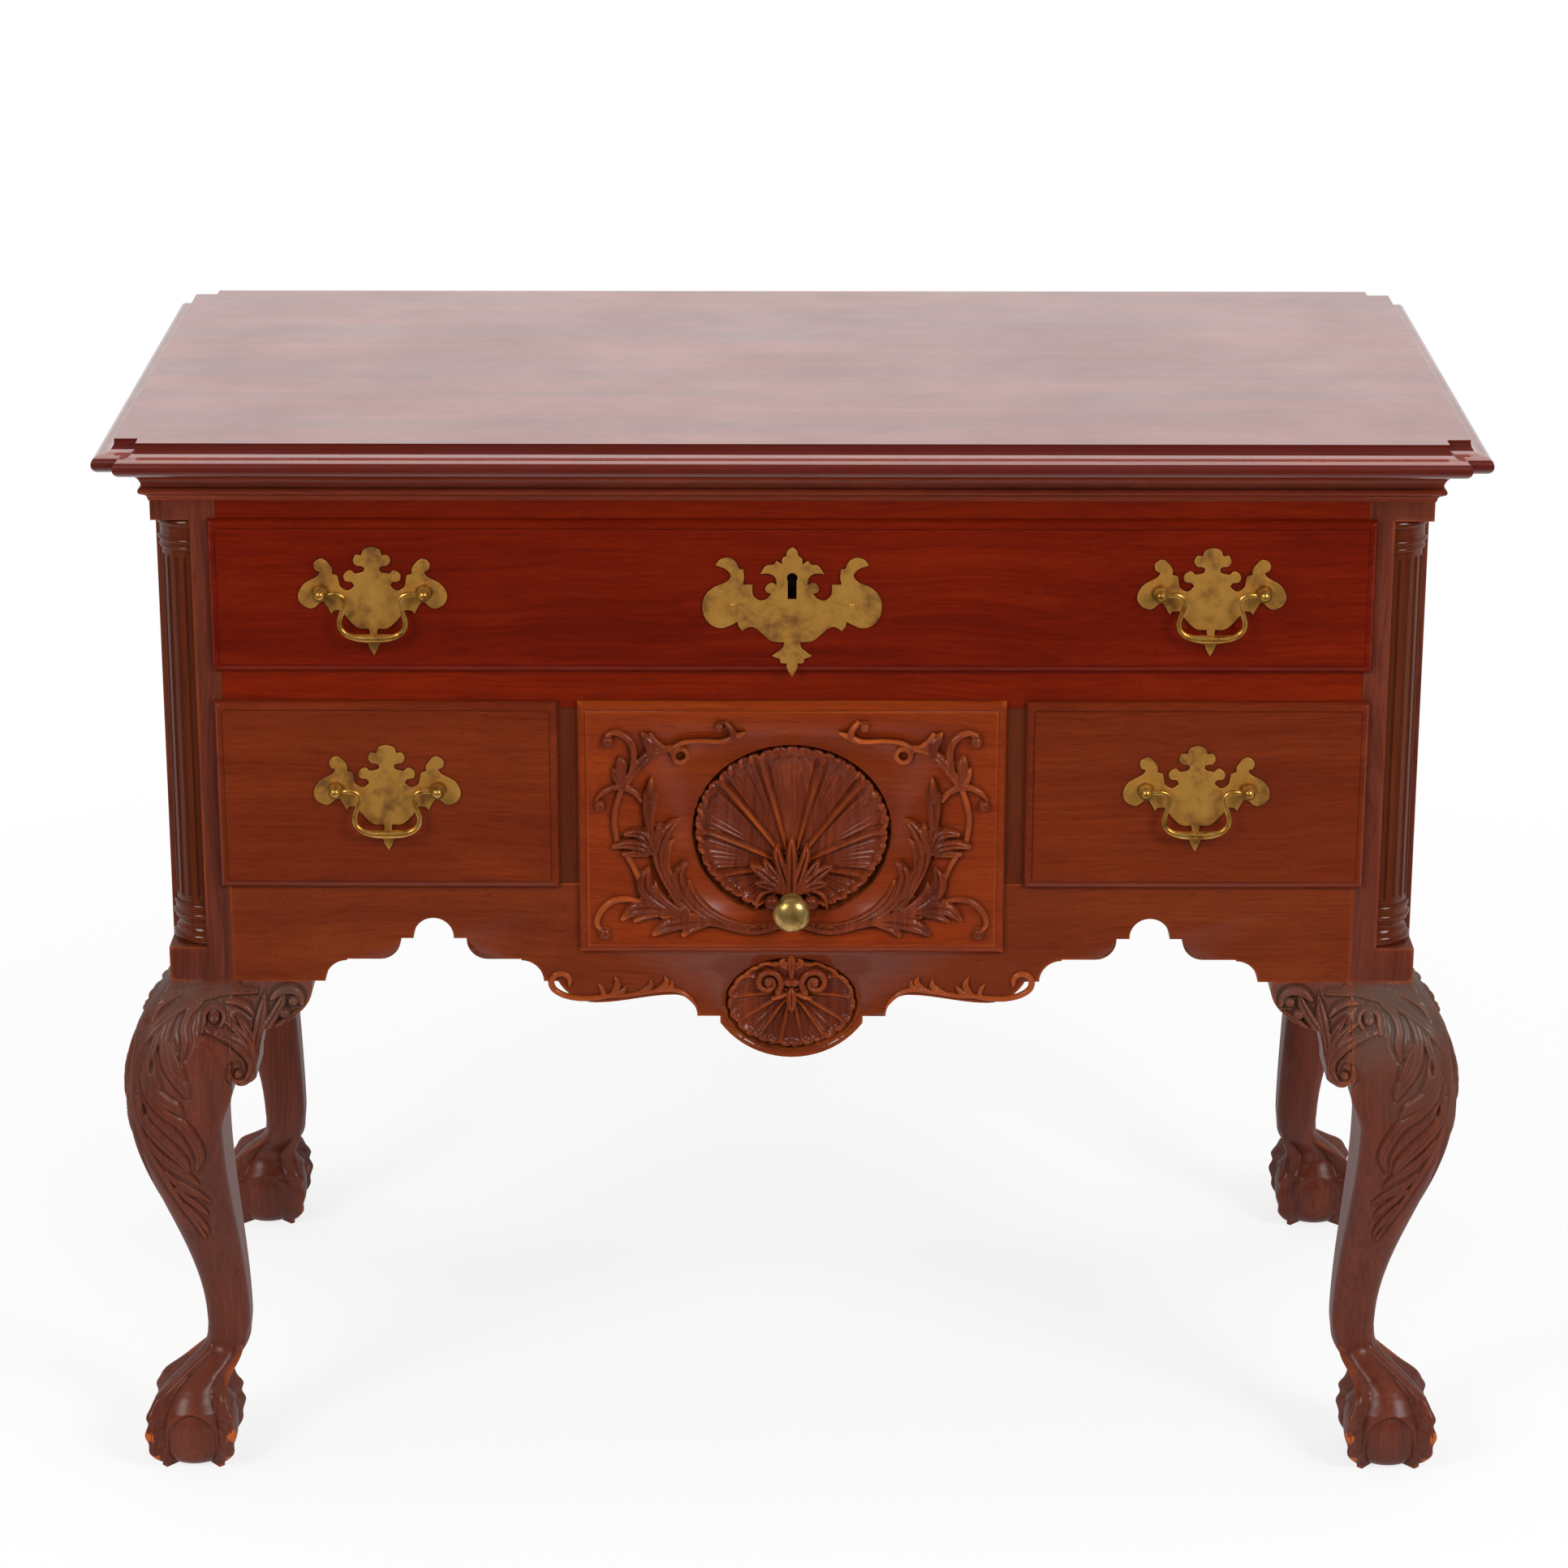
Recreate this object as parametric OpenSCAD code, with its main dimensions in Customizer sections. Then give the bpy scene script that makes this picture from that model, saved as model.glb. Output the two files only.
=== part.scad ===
// Dressing table with one long drawer over three short ones, on cabriole legs
// with ball and claw feet. The case is framed by four corner posts that run on
// down into the legs.
// Millimetres. +Z is up and the front faces -Y, so +X is at the right hand of
// someone who stands in front. The origin is on the floor under the middle of the top.

/* [Case] */
// Width of the case over its corner posts
case_w = 870; // [840:1:940]
// Depth of the case from its front face to the back of the rear posts
case_d = 441; // [420:1:500]
// Height of the lower edge of the case above the floor
leg_h = 369; // [360:1:390]
// Side of the square corner posts
post = 44; // [42:1:48]
// Thickness of the side boards
side_t = 19; // [14:1:24]
// Thickness of the back board
back_t = 13; // [8:1:18]

/* [Top] */
// Thickness of the top board
top_t = 21; // [18:1:26]
// How far the top reaches past the case at each side
top_side = 35; // [34:1:45]
// How far the top reaches past the front of the case
top_front = 36; // [35:1:45]
// How far the top reaches past the back of the case
top_back = 25; // [22:1:40]
// Width of the moulded edge, from the flat surface to the outermost roll
top_edge = 14.5; // [12:0.5:18]
// Length of each corner notch along the front edge
notch_x = 16; // [8:1:22]
// Length of each corner notch along the side edge
notch_y = 13; // [8:1:22]

/* [Cornice] */
// Height of the moulding under the top
cornice_h = 24; // [20:1:28]
// How far that moulding stands out from the case
cornice_out = 16; // [10:0.5:20]

/* [Front frame] */
// Height of the apron up to the openings of the side drawers
apron_h = 73; // [66:1:78]
// Height of the apron below the opening of the middle drawer
apron_mid_h = 25; // [22:1:32]
// Thickness of the apron and of the top rail
rail_t = 22; // [18:1:26]
// Height of the openings of the side drawers
low_open_h = 128; // [115:1:132]
// Height of the rail between the long drawer and the lower ones
mid_rail_h = 29; // [22:1:34]
// Depth of that rail and of the uprights below it
blade_d = 50; // [40:1:70]
// Height of the opening of the long drawer
long_open_h = 100; // [92:1:104]
// Height of the top rail, from that opening to the underside of the top
top_rail_h = 42; // [41:1:50]
// Width of the opening of the middle drawer
mid_open_w = 284; // [270:1:300]
// Width of the uprights beside the middle drawer
divider_w = 24.5; // [20:0.5:30]

/* [Apron outline] */
// Distance of each arch from the middle of the front
arch_x = 250; // [245:1:255]
// Radius of the round head of the arch
arch_r = 14; // [10:1:16]
// Height of the centre of the round head above the lower edge of the case
arch_z = 33; // [30:1:35]
// Half the width of the step under the round head
arch_step = 23; // [20:1:25]
// Half the width between the two coves at the foot of the arch
arch_foot = 61; // [56:1:63]
// Radius of those coves
arch_cove_r = 15.5; // [12:0.5:17]
// How far the middle of the apron drops below the lower edge of the case
apron_drop = 57; // [50:1:64]
// Half the width of the round drop in the middle of the apron
drop_half_w = 50; // [44:1:56]

/* [Columns] */
// Side of the square recess that holds each quarter column
recess = 26.5; // [22:0.5:30]
// Radius of the widest ring of a column
column_r = 26; // [20:0.5:28]
// Radius of the fluted shaft
shaft_r = 23; // [18:0.5:25]
// Number of flutes on the quarter that shows
flutes = 5; // [3:1:7]
// Radius of a flute
flute_r = 2; // [1:0.1:2.5]
// Height of the turned base
column_base_h = 30; // [26:1:36]
// Height of the turned capital
column_cap_h = 23; // [20:1:30]
// Height of the plain block under a column
plinth_h = 25; // [20:1:32]
// Height of the plain block over a column, up to the underside of the top
upper_block_h = 38; // [30:1:44]

/* [Legs] */
// How far the knee stands out past the case
knee_out = 33; // [26:1:34]
// How far the knee of a back leg stands out behind the case
back_knee_out = 22; // [16:1:24]
// How far below the case the knee is fullest
knee_low = 77; // [69:1:89]
// Height of the thinnest part of the ankle above the floor
ankle_z = 97; // [90:1:110]
// Thickness of the ankle
ankle_w = 31.5; // [28:0.5:36]
// How far the ankle's inner faces lie inside the corner of the case
ankle_in = 44; // [42:1:48]
// How far the leg's inner faces lie inside that corner below the knee
knee_in = 35; // [32:1:40]
// Radius of the ball in the foot
ball_r = 30.5; // [27:0.5:31]
// How far the centre of a front foot lies inside the corner of the case
foot_in = 3.5; // [2:0.5:8]
// How far the centre of a back foot lies inside the corner of the case
back_foot_in = 10; // [9.5:0.5:14]
// Width of the toes at their knuckles
toe_w = 10.5; // [8.5:0.5:12]
// Width of the flat on which the ball stands
ball_flat = 19; // [12:1:24]

/* [Knee blocks] */
// Length of a knee block along the case
knee_block_l = 55; // [50:1:60]
// Depth of a knee block behind the face of the case
knee_block_t = 24; // [20:1:30]
// How far a knee block drops below the case at its scrolled end
knee_drop = 68; // [60:1:70]
// Radius of that scroll
knee_scroll_r = 9; // [7:0.5:10]

/* [Drawers] */
// Thickness of the part of a drawer front that enters the case
front_in = 15; // [14:1:20]
// Thickness of the lip that stands in front of the case
lip_t = 7; // [5:0.5:9]
// How far the lip covers the case at the top and the sides
lip_over = 5.5; // [4:0.5:7]
// How far the lip covers the case at the bottom
lip_under = 2; // [1:0.5:3]
// Width of the moulded edge round the lip
lip_mould = 6; // [4:0.5:8]
// Clearance between a drawer and each side of its opening
drawer_gap = 1.5; // [1:0.25:3]
// Clearance over a drawer
drawer_top_gap = 3; // [2:0.5:5]
// Gap between the back of a closed drawer and the back board
drawer_end_gap = 28; // [24:1:60]
// Thickness of the drawer sides
drawer_side_t = 11; // [8:1:14]
// Thickness of the drawer backs
drawer_back_t = 10; // [8:1:14]
// Thickness of the drawer bottoms
drawer_bottom_t = 7; // [5:1:9]
// Height of a drawer bottom above the lower edge of the sides
bottom_up = 8; // [6:1:12]
// Depth of the groove that holds a drawer bottom
groove_d = 4; // [3:0.5:6]
// Length of the dovetails at the front corners
tail_l = 10; // [8:0.5:12]

/* [Runners] */
// Width of a runner
runner_w = 28; // [20:1:40]
// Thickness of a runner
runner_t = 20; // [16:1:24]
// Height of the guide strips
guide_h = 16; // [10:1:24]

/* [Brasses] */
// Distance between the two posts of a pull
boring = 70.5; // [64:0.5:76]
// Distance of each pull of the long drawer from the end of its opening
long_pull_in = 106; // [60:1:130]
// Height of the long drawer's pulls above the floor of its opening
long_pull_z = 56; // [45:1:65]
// Height of the side drawers' pulls above the floor of their openings
short_pull_z = 72; // [50:1:80]
// Thickness of the plates
plate_t = 1.6; // [1:0.1:2.5]
// Radius of a post's head
head_r = 4.7; // [4:0.1:6]
// Distance of the bail's axis from the face of the plate
bail_out = 6.5; // [6:0.25:9]
// Radius of the bail's wire
bail_r = 1.8; // [1.4:0.1:2.2]
// Radius of the grip, where the bail is thickest
grip_r = 3; // [2.4:0.1:3.6]
// Drop of the bail from its axis to the middle of the grip
bail_drop = 31; // [28:1:36]
// Radius of the knob of the middle drawer
knob_r = 13; // [10:0.5:15]
// Height of the knob above the floor of the middle opening
knob_z = 34; // [26:1:44]
// Height of the keyhole above the floor of the long opening
key_z = 66; // [58:1:72]

/* [Lock] */
// Width of the lock
lock_w = 62; // [50:1:80]
// Height of the lock
lock_h = 46; // [40:1:60]
// Thickness of the lock
lock_t = 11; // [9:0.5:12]
// Width of the bolt
bolt_w = 24; // [16:1:30]
// Thickness of the bolt
bolt_t = 6; // [4:0.5:7]
// Travel of the bolt
bolt_travel = 8; // [5:0.5:9]

/* [Carved shells] */
// Half the width of the oval dish in the middle drawer
dish_half_w = 69.5; // [60:0.5:74]
// Half the height of that dish
dish_half_h = 63.5; // [56:0.5:65]
// Depth of that dish
dish_d = 8; // [5:0.5:10]
// Height of its centre above the floor of the middle opening
dish_z = 88; // [82:1:92]
// Height of the centre over the foot from which the reeds of the shell spread
dish_foot = 48; // [36:1:50]
// Number of reeds all round that foot
dish_reeds = 16; // [10:1:20]
// Depth of the oval recess in the drop of the apron
recess_d = 5; // [3:0.5:8]
// Width of the plain wood between that recess and the edges of the apron
recess_rim = 5; // [3:0.5:8]
// Number of reeds on the shell in that recess
recess_reeds = 14; // [10:1:20]

/* [Hidden] */
mahogany = "#7a2a14";
dark_mahogany = "#5c2015";
pine = "#c79a63";
brass = "#b08d3e";
steel = "#6f6a62";

// Small distance by which a cutter passes the face that it cuts
eps = 1;
// Clearance between a piece and the seat that holds it
fit = 0.3;
// Clearance round a glued corner joint
glue = 0.1;

top_w = case_w + 2*top_side;
top_d = case_d + top_front + top_back;
front_y = top_front - top_d/2;
back_y = front_y + case_d;
half_w = case_w/2;
inner_w = case_w - 2*post;

low_open_z = leg_h + apron_h;
mid_open_z = leg_h + apron_mid_h;
mid_rail_z = low_open_z + low_open_h;
long_open_z = mid_rail_z + mid_rail_h;
top_rail_z = long_open_z + long_open_h;
case_top = top_rail_z + top_rail_h;
case_h = case_top - leg_h;
short_open_w = (inner_w - mid_open_w)/2 - divider_w;
short_x = mid_open_w/2 + divider_w + short_open_w/2;
long_pull_x = inner_w/2 - long_pull_in;
mid_open_h = mid_rail_z - mid_open_z;

// Each opening as its middle, its floor, its width and its height
long_opening = [0, long_open_z, inner_w, long_open_h];
left_opening = [-short_x, low_open_z, short_open_w, low_open_h];
middle_opening = [0, mid_open_z, mid_open_w, mid_open_h];
right_opening = [short_x, low_open_z, short_open_w, low_open_h];

face_y = front_y - lip_t;
box_y = front_y + front_in;
back_inner_y = back_y - back_t;
drawer_l = back_inner_y - box_y - drawer_end_gap;
runner_y = front_y + rail_t;
blade_y = front_y + blade_d;

// Cubic ease from 0 to 1
function ease(t) = let (s = max(0, min(1, t))) s*s*(3 - 2*s);
// Ease from value a at height za down to value b at height zb
function ease_down(z, za, a, zb, b) = a + (b - a)*ease((za - z)/(za - zb));

// Middle of a list of points
function middle(points) = [for (p = points) 1/len(points)]*points;

// Solid through a list of rings with the same number of points each. An end with
// notches is split into triangles about its middle, and any other end is one face.
module loft(rings, notched = false) {
    n = len(rings[0]);
    last = len(rings) - 1;
    hub = n*len(rings);
    points = concat([for (ring = rings) each ring],
        notched ? [middle(rings[0]), middle(rings[last])] : []);
    walls = [for (k = [0:last - 1], i = [0:n - 1])
        let (a = k*n + i, b = k*n + (i + 1)%n, c = a + n, d = b + n)
            each [[a, b, d], [a, d, c]]];
    first_end = notched ? [for (i = [0:n - 1]) [hub, (i + 1)%n, i]] :
        [[for (i = [n - 1:-1:0]) i]];
    last_end = notched ? [for (i = [0:n - 1]) [hub + 1, last*n + i, last*n + (i + 1)%n]] :
        [[for (i = [0:n - 1]) last*n + i]];
    polyhedron(points, concat(walls, first_end, last_end), convexity = 6);
}

// Box from its lowest corner to its highest
module span(low, high) {
    translate(low) cube(high - low);
}

// Copy of its children at the left and at the right
module both_sides() {
    children();
    mirror([1, 0, 0]) children();
}

// Top board: a flat surface, then a step, a cove and a roll that run round the
// notched corners. Each point is the inset from the outermost edge and the height.
roll_r = (top_t - 9)/2;
edge_profile = concat(
    [[roll_r, 0]],
    [for (a = [-75:15:90]) [roll_r - roll_r*cos(a), roll_r + roll_r*sin(a)]],
    [for (a = [270:-22.5:180])
        let (r = top_edge - roll_r - 1) [roll_r + 1 - r*cos(a), top_t - 2 + min(r, 7)*sin(a)]],
    [[top_edge, top_t]]);

function top_corner(e) = let (x = top_w/2 - e, y = top_d/2 - e)
    [[x - notch_x, y], [x - notch_x, y - notch_y], [x, y - notch_y]];
function top_outline(e) = let (c = top_corner(e)) concat(
    [c[2], c[1], c[0]],
    [for (p = [c[0], c[1], c[2]]) [-p[0], p[1]]],
    [for (p = [c[2], c[1], c[0]]) [-p[0], -p[1]]],
    [for (p = [c[0], c[1], c[2]]) [p[0], -p[1]]]);

module top_board() {
    color(mahogany)
        translate([0, 0, case_top])
            loft([for (k = [len(edge_profile) - 1:-1:0]) let (q = edge_profile[k])
                [for (p = top_outline(q[0])) [p[0], p[1], q[1]]]], notched = true);
}

// Cornice under the top, from its upper edge down: a fillet, a cove, a bead and a
// small hollow that runs out on the case
cornice_fillet = cornice_h*0.14;
cornice_cove_r = min(cornice_out - 3, cornice_h*0.44);
cornice_bead_r = cornice_h*0.1;
cornice_foot = cornice_h*0.2;

module cornice_profile() {
    cove_z = cornice_h - cornice_fillet - cornice_cove_r;
    inner = cornice_out - 1 - cornice_cove_r;
    difference() {
        square([cornice_out, cornice_h]);
        translate([inner + cornice_cove_r, cove_z]) circle(r = cornice_cove_r, $fn = 64);
        translate([inner + cornice_cove_r, -eps])
            square([cornice_out, cornice_h - cornice_fillet + eps]);
        translate([inner, -eps]) square([cornice_out, cove_z + eps]);
        translate([inner, 0]) scale([(inner - 0.8)/cornice_foot, 1])
            circle(r = cornice_foot, $fn = 48);
    }
    translate([inner, cove_z - cornice_bead_r]) circle(r = cornice_bead_r, $fn = 32);
}

// Straight length of cornice along X, standing out towards -Y
module cornice_run(length) {
    mirror([0, 1, 0]) rotate([90, 0, 90])
        translate([0, 0, -length/2]) linear_extrude(length) cornice_profile();
}

// What a length of cornice keeps between the two mitres of its plan
module mitred(plan) {
    intersection() {
        children();
        translate([0, 0, case_top - cornice_h - eps])
            linear_extrude(cornice_h + 2*eps) polygon(plan);
    }
}

module cornice_front() {
    reach = half_w + cornice_out;
    plan = [[-half_w, front_y], [half_w, front_y], [reach, front_y - cornice_out],
        [-reach, front_y - cornice_out]];
    color(mahogany)
        mitred(plan)
            translate([0, front_y, case_top - cornice_h]) cornice_run(2*reach);
}

module cornice_side() {
    length = case_d + cornice_out;
    plan = [[half_w, front_y], [half_w + cornice_out, front_y - cornice_out],
        [half_w + cornice_out, back_y], [half_w, back_y]];
    mitred(plan)
        translate([half_w, back_y - length/2, case_top - cornice_h])
            rotate([0, 0, 90]) cornice_run(length);
}

module cornice_left() {
    color(mahogany) mirror([1, 0, 0]) cornice_side();
}

module cornice_right() {
    color(mahogany) cornice_side();
}

// Leg. Its outer faces and its inner faces both follow one curve each, as they
// are sawn from two sides of a square blank. Offsets are measured outwards from
// the corner of the case.
knee_z = leg_h - knee_low;
leg_block_z = leg_h - knee_drop;
knee_hollow_z = leg_block_z - 38;
ball_z = sqrt(ball_r*ball_r - ball_flat*ball_flat/4);
web_z = ball_z + 0.55*ball_r;

function knee_rise(z, knee) =
    let (t = max(0, leg_h - z)/(leg_h - knee_z)) knee*(1 - pow(1 - t, 2.2));
function outer_face(z, knee, foot) =
    z >= knee_z ? knee_rise(z, knee) :
    z >= ankle_z ? ease_down(z, knee_z, knee, ankle_z, ankle_w - ankle_in) :
    ease_down(z, ankle_z, ankle_w - ankle_in, web_z, 21 - foot);
function inner_face(z, foot) =
    z >= leg_block_z ? post :
    z >= knee_hollow_z ? ease_down(z, leg_block_z, post, knee_hollow_z, knee_in) :
    z >= ankle_z ? ease_down(z, knee_hollow_z, knee_in, ankle_z, ankle_in) :
    ease_down(z, ankle_z, ankle_in, web_z, 22 + foot);
// Rounding of the corners: sharp at the top, then round at the knee and on the shin
arris_r = 0.8;
knee_r = 19.5;
shin_r = 11;
side_r = 8;
back_r = 9;
function outer_round(z) =
    z >= knee_z ? arris_r + (knee_r - arris_r)*knee_rise(z, 1) :
    ease_down(z, knee_z, knee_r, ankle_z, shin_r);
function block_round(z, r) = z >= leg_block_z ? arris_r :
    ease_down(z, leg_block_z, arris_r, knee_hollow_z, r);

// Quarter round of n points about a corner, from angle a
function corner_arc(cx, cy, r, a, n) = [for (i = [0:n - 1])
    let (t = a + 90*i/(n - 1)) [cx + r*cos(t), cy + r*sin(t)]];
// Section of the leg at height z, in a frame whose +X and +Y point out of the case.
// knee_y is the reach of the knee along Y and foot the inset of the foot.
function leg_section(z, knee_y, foot) =
    let (ox = outer_face(z, knee_out, foot), oy = outer_face(z, knee_y, foot),
        i = -inner_face(z, foot), ro = outer_round(z), rs = block_round(z, side_r),
        ri = block_round(z, back_r))
    concat(corner_arc(ox - ro, oy - ro, ro, 0, 6), corner_arc(i + rs, oy - rs, rs, 90, 4),
        corner_arc(i + ri, i + ri, ri, 180, 4), corner_arc(ox - rs, i + rs, rs, 270, 4));

knee_rings = 9;
shin_rings = 15;
web_rings = 4;
leg_heights = concat(
    [leg_h],
    [for (k = [1:knee_rings]) leg_h - (leg_h - knee_z)*pow(k/knee_rings, 1.3)],
    [for (k = [1:shin_rings]) knee_z - (knee_z - ankle_z)*k/shin_rings],
    [for (k = [1:web_rings]) ankle_z - (ankle_z - web_z)*k/web_rings]);

// Toe: a swept tube that starts on the ankle and grips the ball, thick at its
// knuckles. Each station is the height, the share of the way from ankle to ball,
// the distance from the ball's axis and the thickness.
toe_stations = [
    [ankle_z - 8, 0, 0, 0.5], [ankle_z - 20, 0.28, 22, 0.66],
    [ball_z + 1.2*ball_r, 0.62, 25, 0.8], [ball_z + 0.92*ball_r, 0.86, 28.5, 1.02],
    [ball_z + 0.66*ball_r, 1, 31, 0.88], [ball_z + 0.38*ball_r, 1, 35, 1.06],
    [ball_z + 0.1*ball_r, 1, 36, 0.88], [ball_z - 0.2*ball_r, 1, 36.5, 0.98],
    [ball_z - 0.48*ball_r, 1, 33.5, 0.8], [ball_z - 0.72*ball_r, 1, 29, 0.64],
    [1, 1, 25, 0.36]];
toe_sides = 8;
toe_depth = 1.6;

function toe_centre(s, a, foot) =
    let (ankle_c = ankle_w/2 - ankle_in,
        on_ankle = [ankle_c + 11*cos(a), ankle_c + 11*sin(a)],
        on_ball = [s[2]*cos(a) - foot, s[2]*sin(a) - foot],
        p = on_ankle*(1 - s[1]) + on_ball*s[1])
    [p[0], p[1], s[0]];
function toe_ring(k, a, foot) =
    let (last = len(toe_stations) - 1,
        here = toe_centre(toe_stations[k], a, foot),
        before = toe_centre(toe_stations[max(0, k - 1)], a, foot),
        after = toe_centre(toe_stations[min(last, k + 1)], a, foot),
        along = (after - before)/norm(after - before),
        across = [-sin(a), cos(a), 0],
        out = cross(across, along),
        r = toe_stations[k][3]*toe_w/2)
    [for (i = [0:toe_sides - 1])
        let (t = 360*i/toe_sides + 22.5)
            here + across*r*cos(t) + out*r*toe_depth*sin(t)];

module toe(a, foot) {
    loft([for (k = [0:len(toe_stations) - 1]) toe_ring(k, a, foot)]);
}

// Leg below the case, in a frame with its origin under the corner of the case and
// +X and +Y pointing outwards
module cabriole(knee_y, foot) {
    intersection() {
        union() {
            loft([for (z = leg_heights)
                [for (p = leg_section(z, knee_y, foot)) [p[0], p[1], z]]]);
            for (a = [45:90:315]) toe(a, foot);
            translate([-foot, -foot, ball_z]) sphere(r = ball_r, $fn = 48);
        }
        translate([-leg_h/2, -leg_h/2, 0]) cube([leg_h, leg_h, leg_h]);
    }
}

// Post over the leg, with a square recess for the quarter column when there is one
module corner_post(with_recess) {
    difference() {
        translate([-post, -post, leg_h]) cube([post, post, case_h]);
        if (with_recess)
            translate([-recess, -recess, leg_h + plinth_h])
                cube([recess + eps, recess + eps, case_h - plinth_h - upper_block_h]);
    }
}

module front_leg(side) {
    color(dark_mahogany)
        translate([side*half_w, front_y, 0]) scale([side, -1, 1]) {
            cabriole(knee_out, foot_in);
            corner_post(true);
        }
}

module back_leg(side) {
    color(dark_mahogany)
        translate([side*half_w, back_y, 0]) scale([side, 1, 1]) {
            cabriole(back_knee_out, back_foot_in);
            corner_post(false);
        }
}

module leg_front_left() {
    front_leg(-1);
}

module leg_front_right() {
    front_leg(1);
}

module leg_back_left() {
    back_leg(-1);
}

module leg_back_right() {
    back_leg(1);
}

// Knee block: it fills the angle between leg and case, swells with the knee and
// ends in a scroll. Its own frame has X along the case from the leg, Y outwards.
block_stations = 13;
block_end = 5;
function block_drop(s) =
    let (r = knee_scroll_r, flank = 2*r + 4, shoulder = knee_drop*0.46)
    s <= r ? knee_drop - r + sqrt(max(0, r*r - pow(r - s, 2))) :
    s <= 2*r - 2 ? knee_drop - r + sqrt(max(0, r*r - pow(s - r, 2))) :
    s <= flank ? ease_down(-s, -(2*r - 2), knee_drop - r*0.37, -flank, shoulder) :
    block_end + (shoulder - block_end)*sqrt(max(0, 1 - pow((s - flank)/(knee_block_l - flank), 2)));
function block_swell(s, z) = knee_rise(z, knee_out)*pow(1 - 0.97*s/knee_block_l, 1.2);
function block_ring(s) =
    let (low = leg_h - block_drop(s))
    concat([for (i = [0:8]) let (z = leg_h + (low - leg_h)*i/8) [s, block_swell(s, z), z]],
        [[s, -knee_block_t, low], [s, -knee_block_t, leg_h]]);

module knee_block() {
    loft([for (i = [0:block_stations]) block_ring(knee_block_l*i/block_stations)]);
}

module knee_block_front() {
    translate([half_w - post, front_y, 0]) rotate([0, 0, 180]) knee_block();
}

module knee_block_side() {
    translate([half_w, front_y + post, 0]) mirror([1, -1, 0]) knee_block();
}

module knee_block_rear() {
    translate([half_w, back_y - post, 0]) rotate([0, 0, -90]) knee_block();
}

module knee_blocks_front() {
    color(dark_mahogany) both_sides() knee_block_front();
}

module knee_blocks_right() {
    color(dark_mahogany) {
        knee_block_side();
        knee_block_rear();
    }
}

module knee_blocks_left() {
    color(dark_mahogany)
        mirror([1, 0, 0]) {
            knee_block_side();
            knee_block_rear();
        }
}

// Quarter column: half profiles of the turned base and capital, then the fluted shaft.
// The column's axis is the inner edge of the recess.
column_z = leg_h + plinth_h;
column_h = case_h - plinth_h - upper_block_h;

module ring_profile(z, h, r) {
    translate([r - h/2, z + h/2]) circle(d = h, $fn = 32);
    translate([0, z]) square([r - h/2, h]);
}

// Turned rings between the block and the shaft, as seen from the block
module turned_end(h) {
    difference() {
        square([shaft_r + 1, h]);
        translate([column_r + 1.5, h*0.46]) circle(r = h*0.16, $fn = 40);
    }
    ring_profile(0, h*0.3, column_r);
    ring_profile(h*0.62, h*0.17, column_r - 0.6);
    ring_profile(h*0.86, h*0.14, column_r - 1.4);
}

module quarter_column() {
    rotate_extrude(angle = 90, $fn = 96) turned_end(column_base_h);
    translate([0, 0, column_h]) mirror([0, 0, 1])
        rotate_extrude(angle = 90, $fn = 96) turned_end(column_cap_h);
    difference() {
        rotate_extrude(angle = 90, $fn = 96)
            translate([0, column_base_h])
                square([shaft_r, column_h - column_base_h - column_cap_h]);
        for (k = [0:flutes - 1]) {
            a = 90*(k + 0.5)/flutes;
            low = column_base_h + 3*flute_r;
            high = column_h - column_cap_h - 3*flute_r;
            at = [(shaft_r + 0.3)*cos(a), (shaft_r + 0.3)*sin(a), low];
            translate(at) cylinder(r = flute_r, h = high - low, $fn = 24);
            translate(at) sphere(r = flute_r, $fn = 24);
            translate(at + [0, 0, high - low]) sphere(r = flute_r, $fn = 24);
        }
    }
}

module placed_column() {
    translate([half_w - recess + glue, front_y + recess - glue, column_z + glue/2])
        rotate([0, 0, -90])
            scale([1, 1, (column_h - glue)/column_h]) quarter_column();
}

module quarter_column_right() {
    color(dark_mahogany) placed_column();
}

module quarter_column_left() {
    color(dark_mahogany) mirror([1, 0, 0]) placed_column();
}

// Boards of the case
module side_board() {
    span([half_w - side_t, front_y + post, leg_h], [half_w, back_y - post, case_top]);
}

module side_left() {
    color(mahogany) mirror([1, 0, 0]) side_board();
}

module side_right() {
    color(mahogany) side_board();
}

module back_panel() {
    color(pine) span([-inner_w/2, back_inner_y, leg_h], [inner_w/2, back_y, case_top]);
}

// The top rail has a mortise for the bolt of the lock
mortise_gap = 1.5;
module top_rail() {
    color(mahogany)
        difference() {
            span([-inner_w/2, front_y, top_rail_z], [inner_w/2, front_y + rail_t, case_top]);
            span([-bolt_w/2 - mortise_gap, bolt_y - mortise_gap, top_rail_z - eps],
                [bolt_w/2 + mortise_gap, bolt_y + bolt_t + mortise_gap,
                    lock_top + bolt_travel + mortise_gap]);
        }
}

module middle_rail() {
    color(mahogany) span([-inner_w/2, front_y, mid_rail_z], [inner_w/2, blade_y, long_open_z]);
}

module divider() {
    span([mid_open_w/2, front_y, low_open_z],
        [mid_open_w/2 + divider_w, blade_y, mid_rail_z]);
}

module divider_left() {
    color(mahogany) mirror([1, 0, 0]) divider();
}

module divider_right() {
    color(mahogany) divider();
}

// Points of an arc of n steps about a centre
function arc(cx, cy, r, from, to, n) = [for (i = [0:n])
    let (t = from + (to - from)*i/n) [cx + r*cos(t), cy + r*sin(t)]];
// Outline on both sides of the middle from its right half, bottom middle to top
function mirrored_outline(right) = concat(right,
    [for (i = [len(right) - 1:-1:0]) if (right[i][0] > 0) [-right[i][0], right[i][1]]]);

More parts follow.
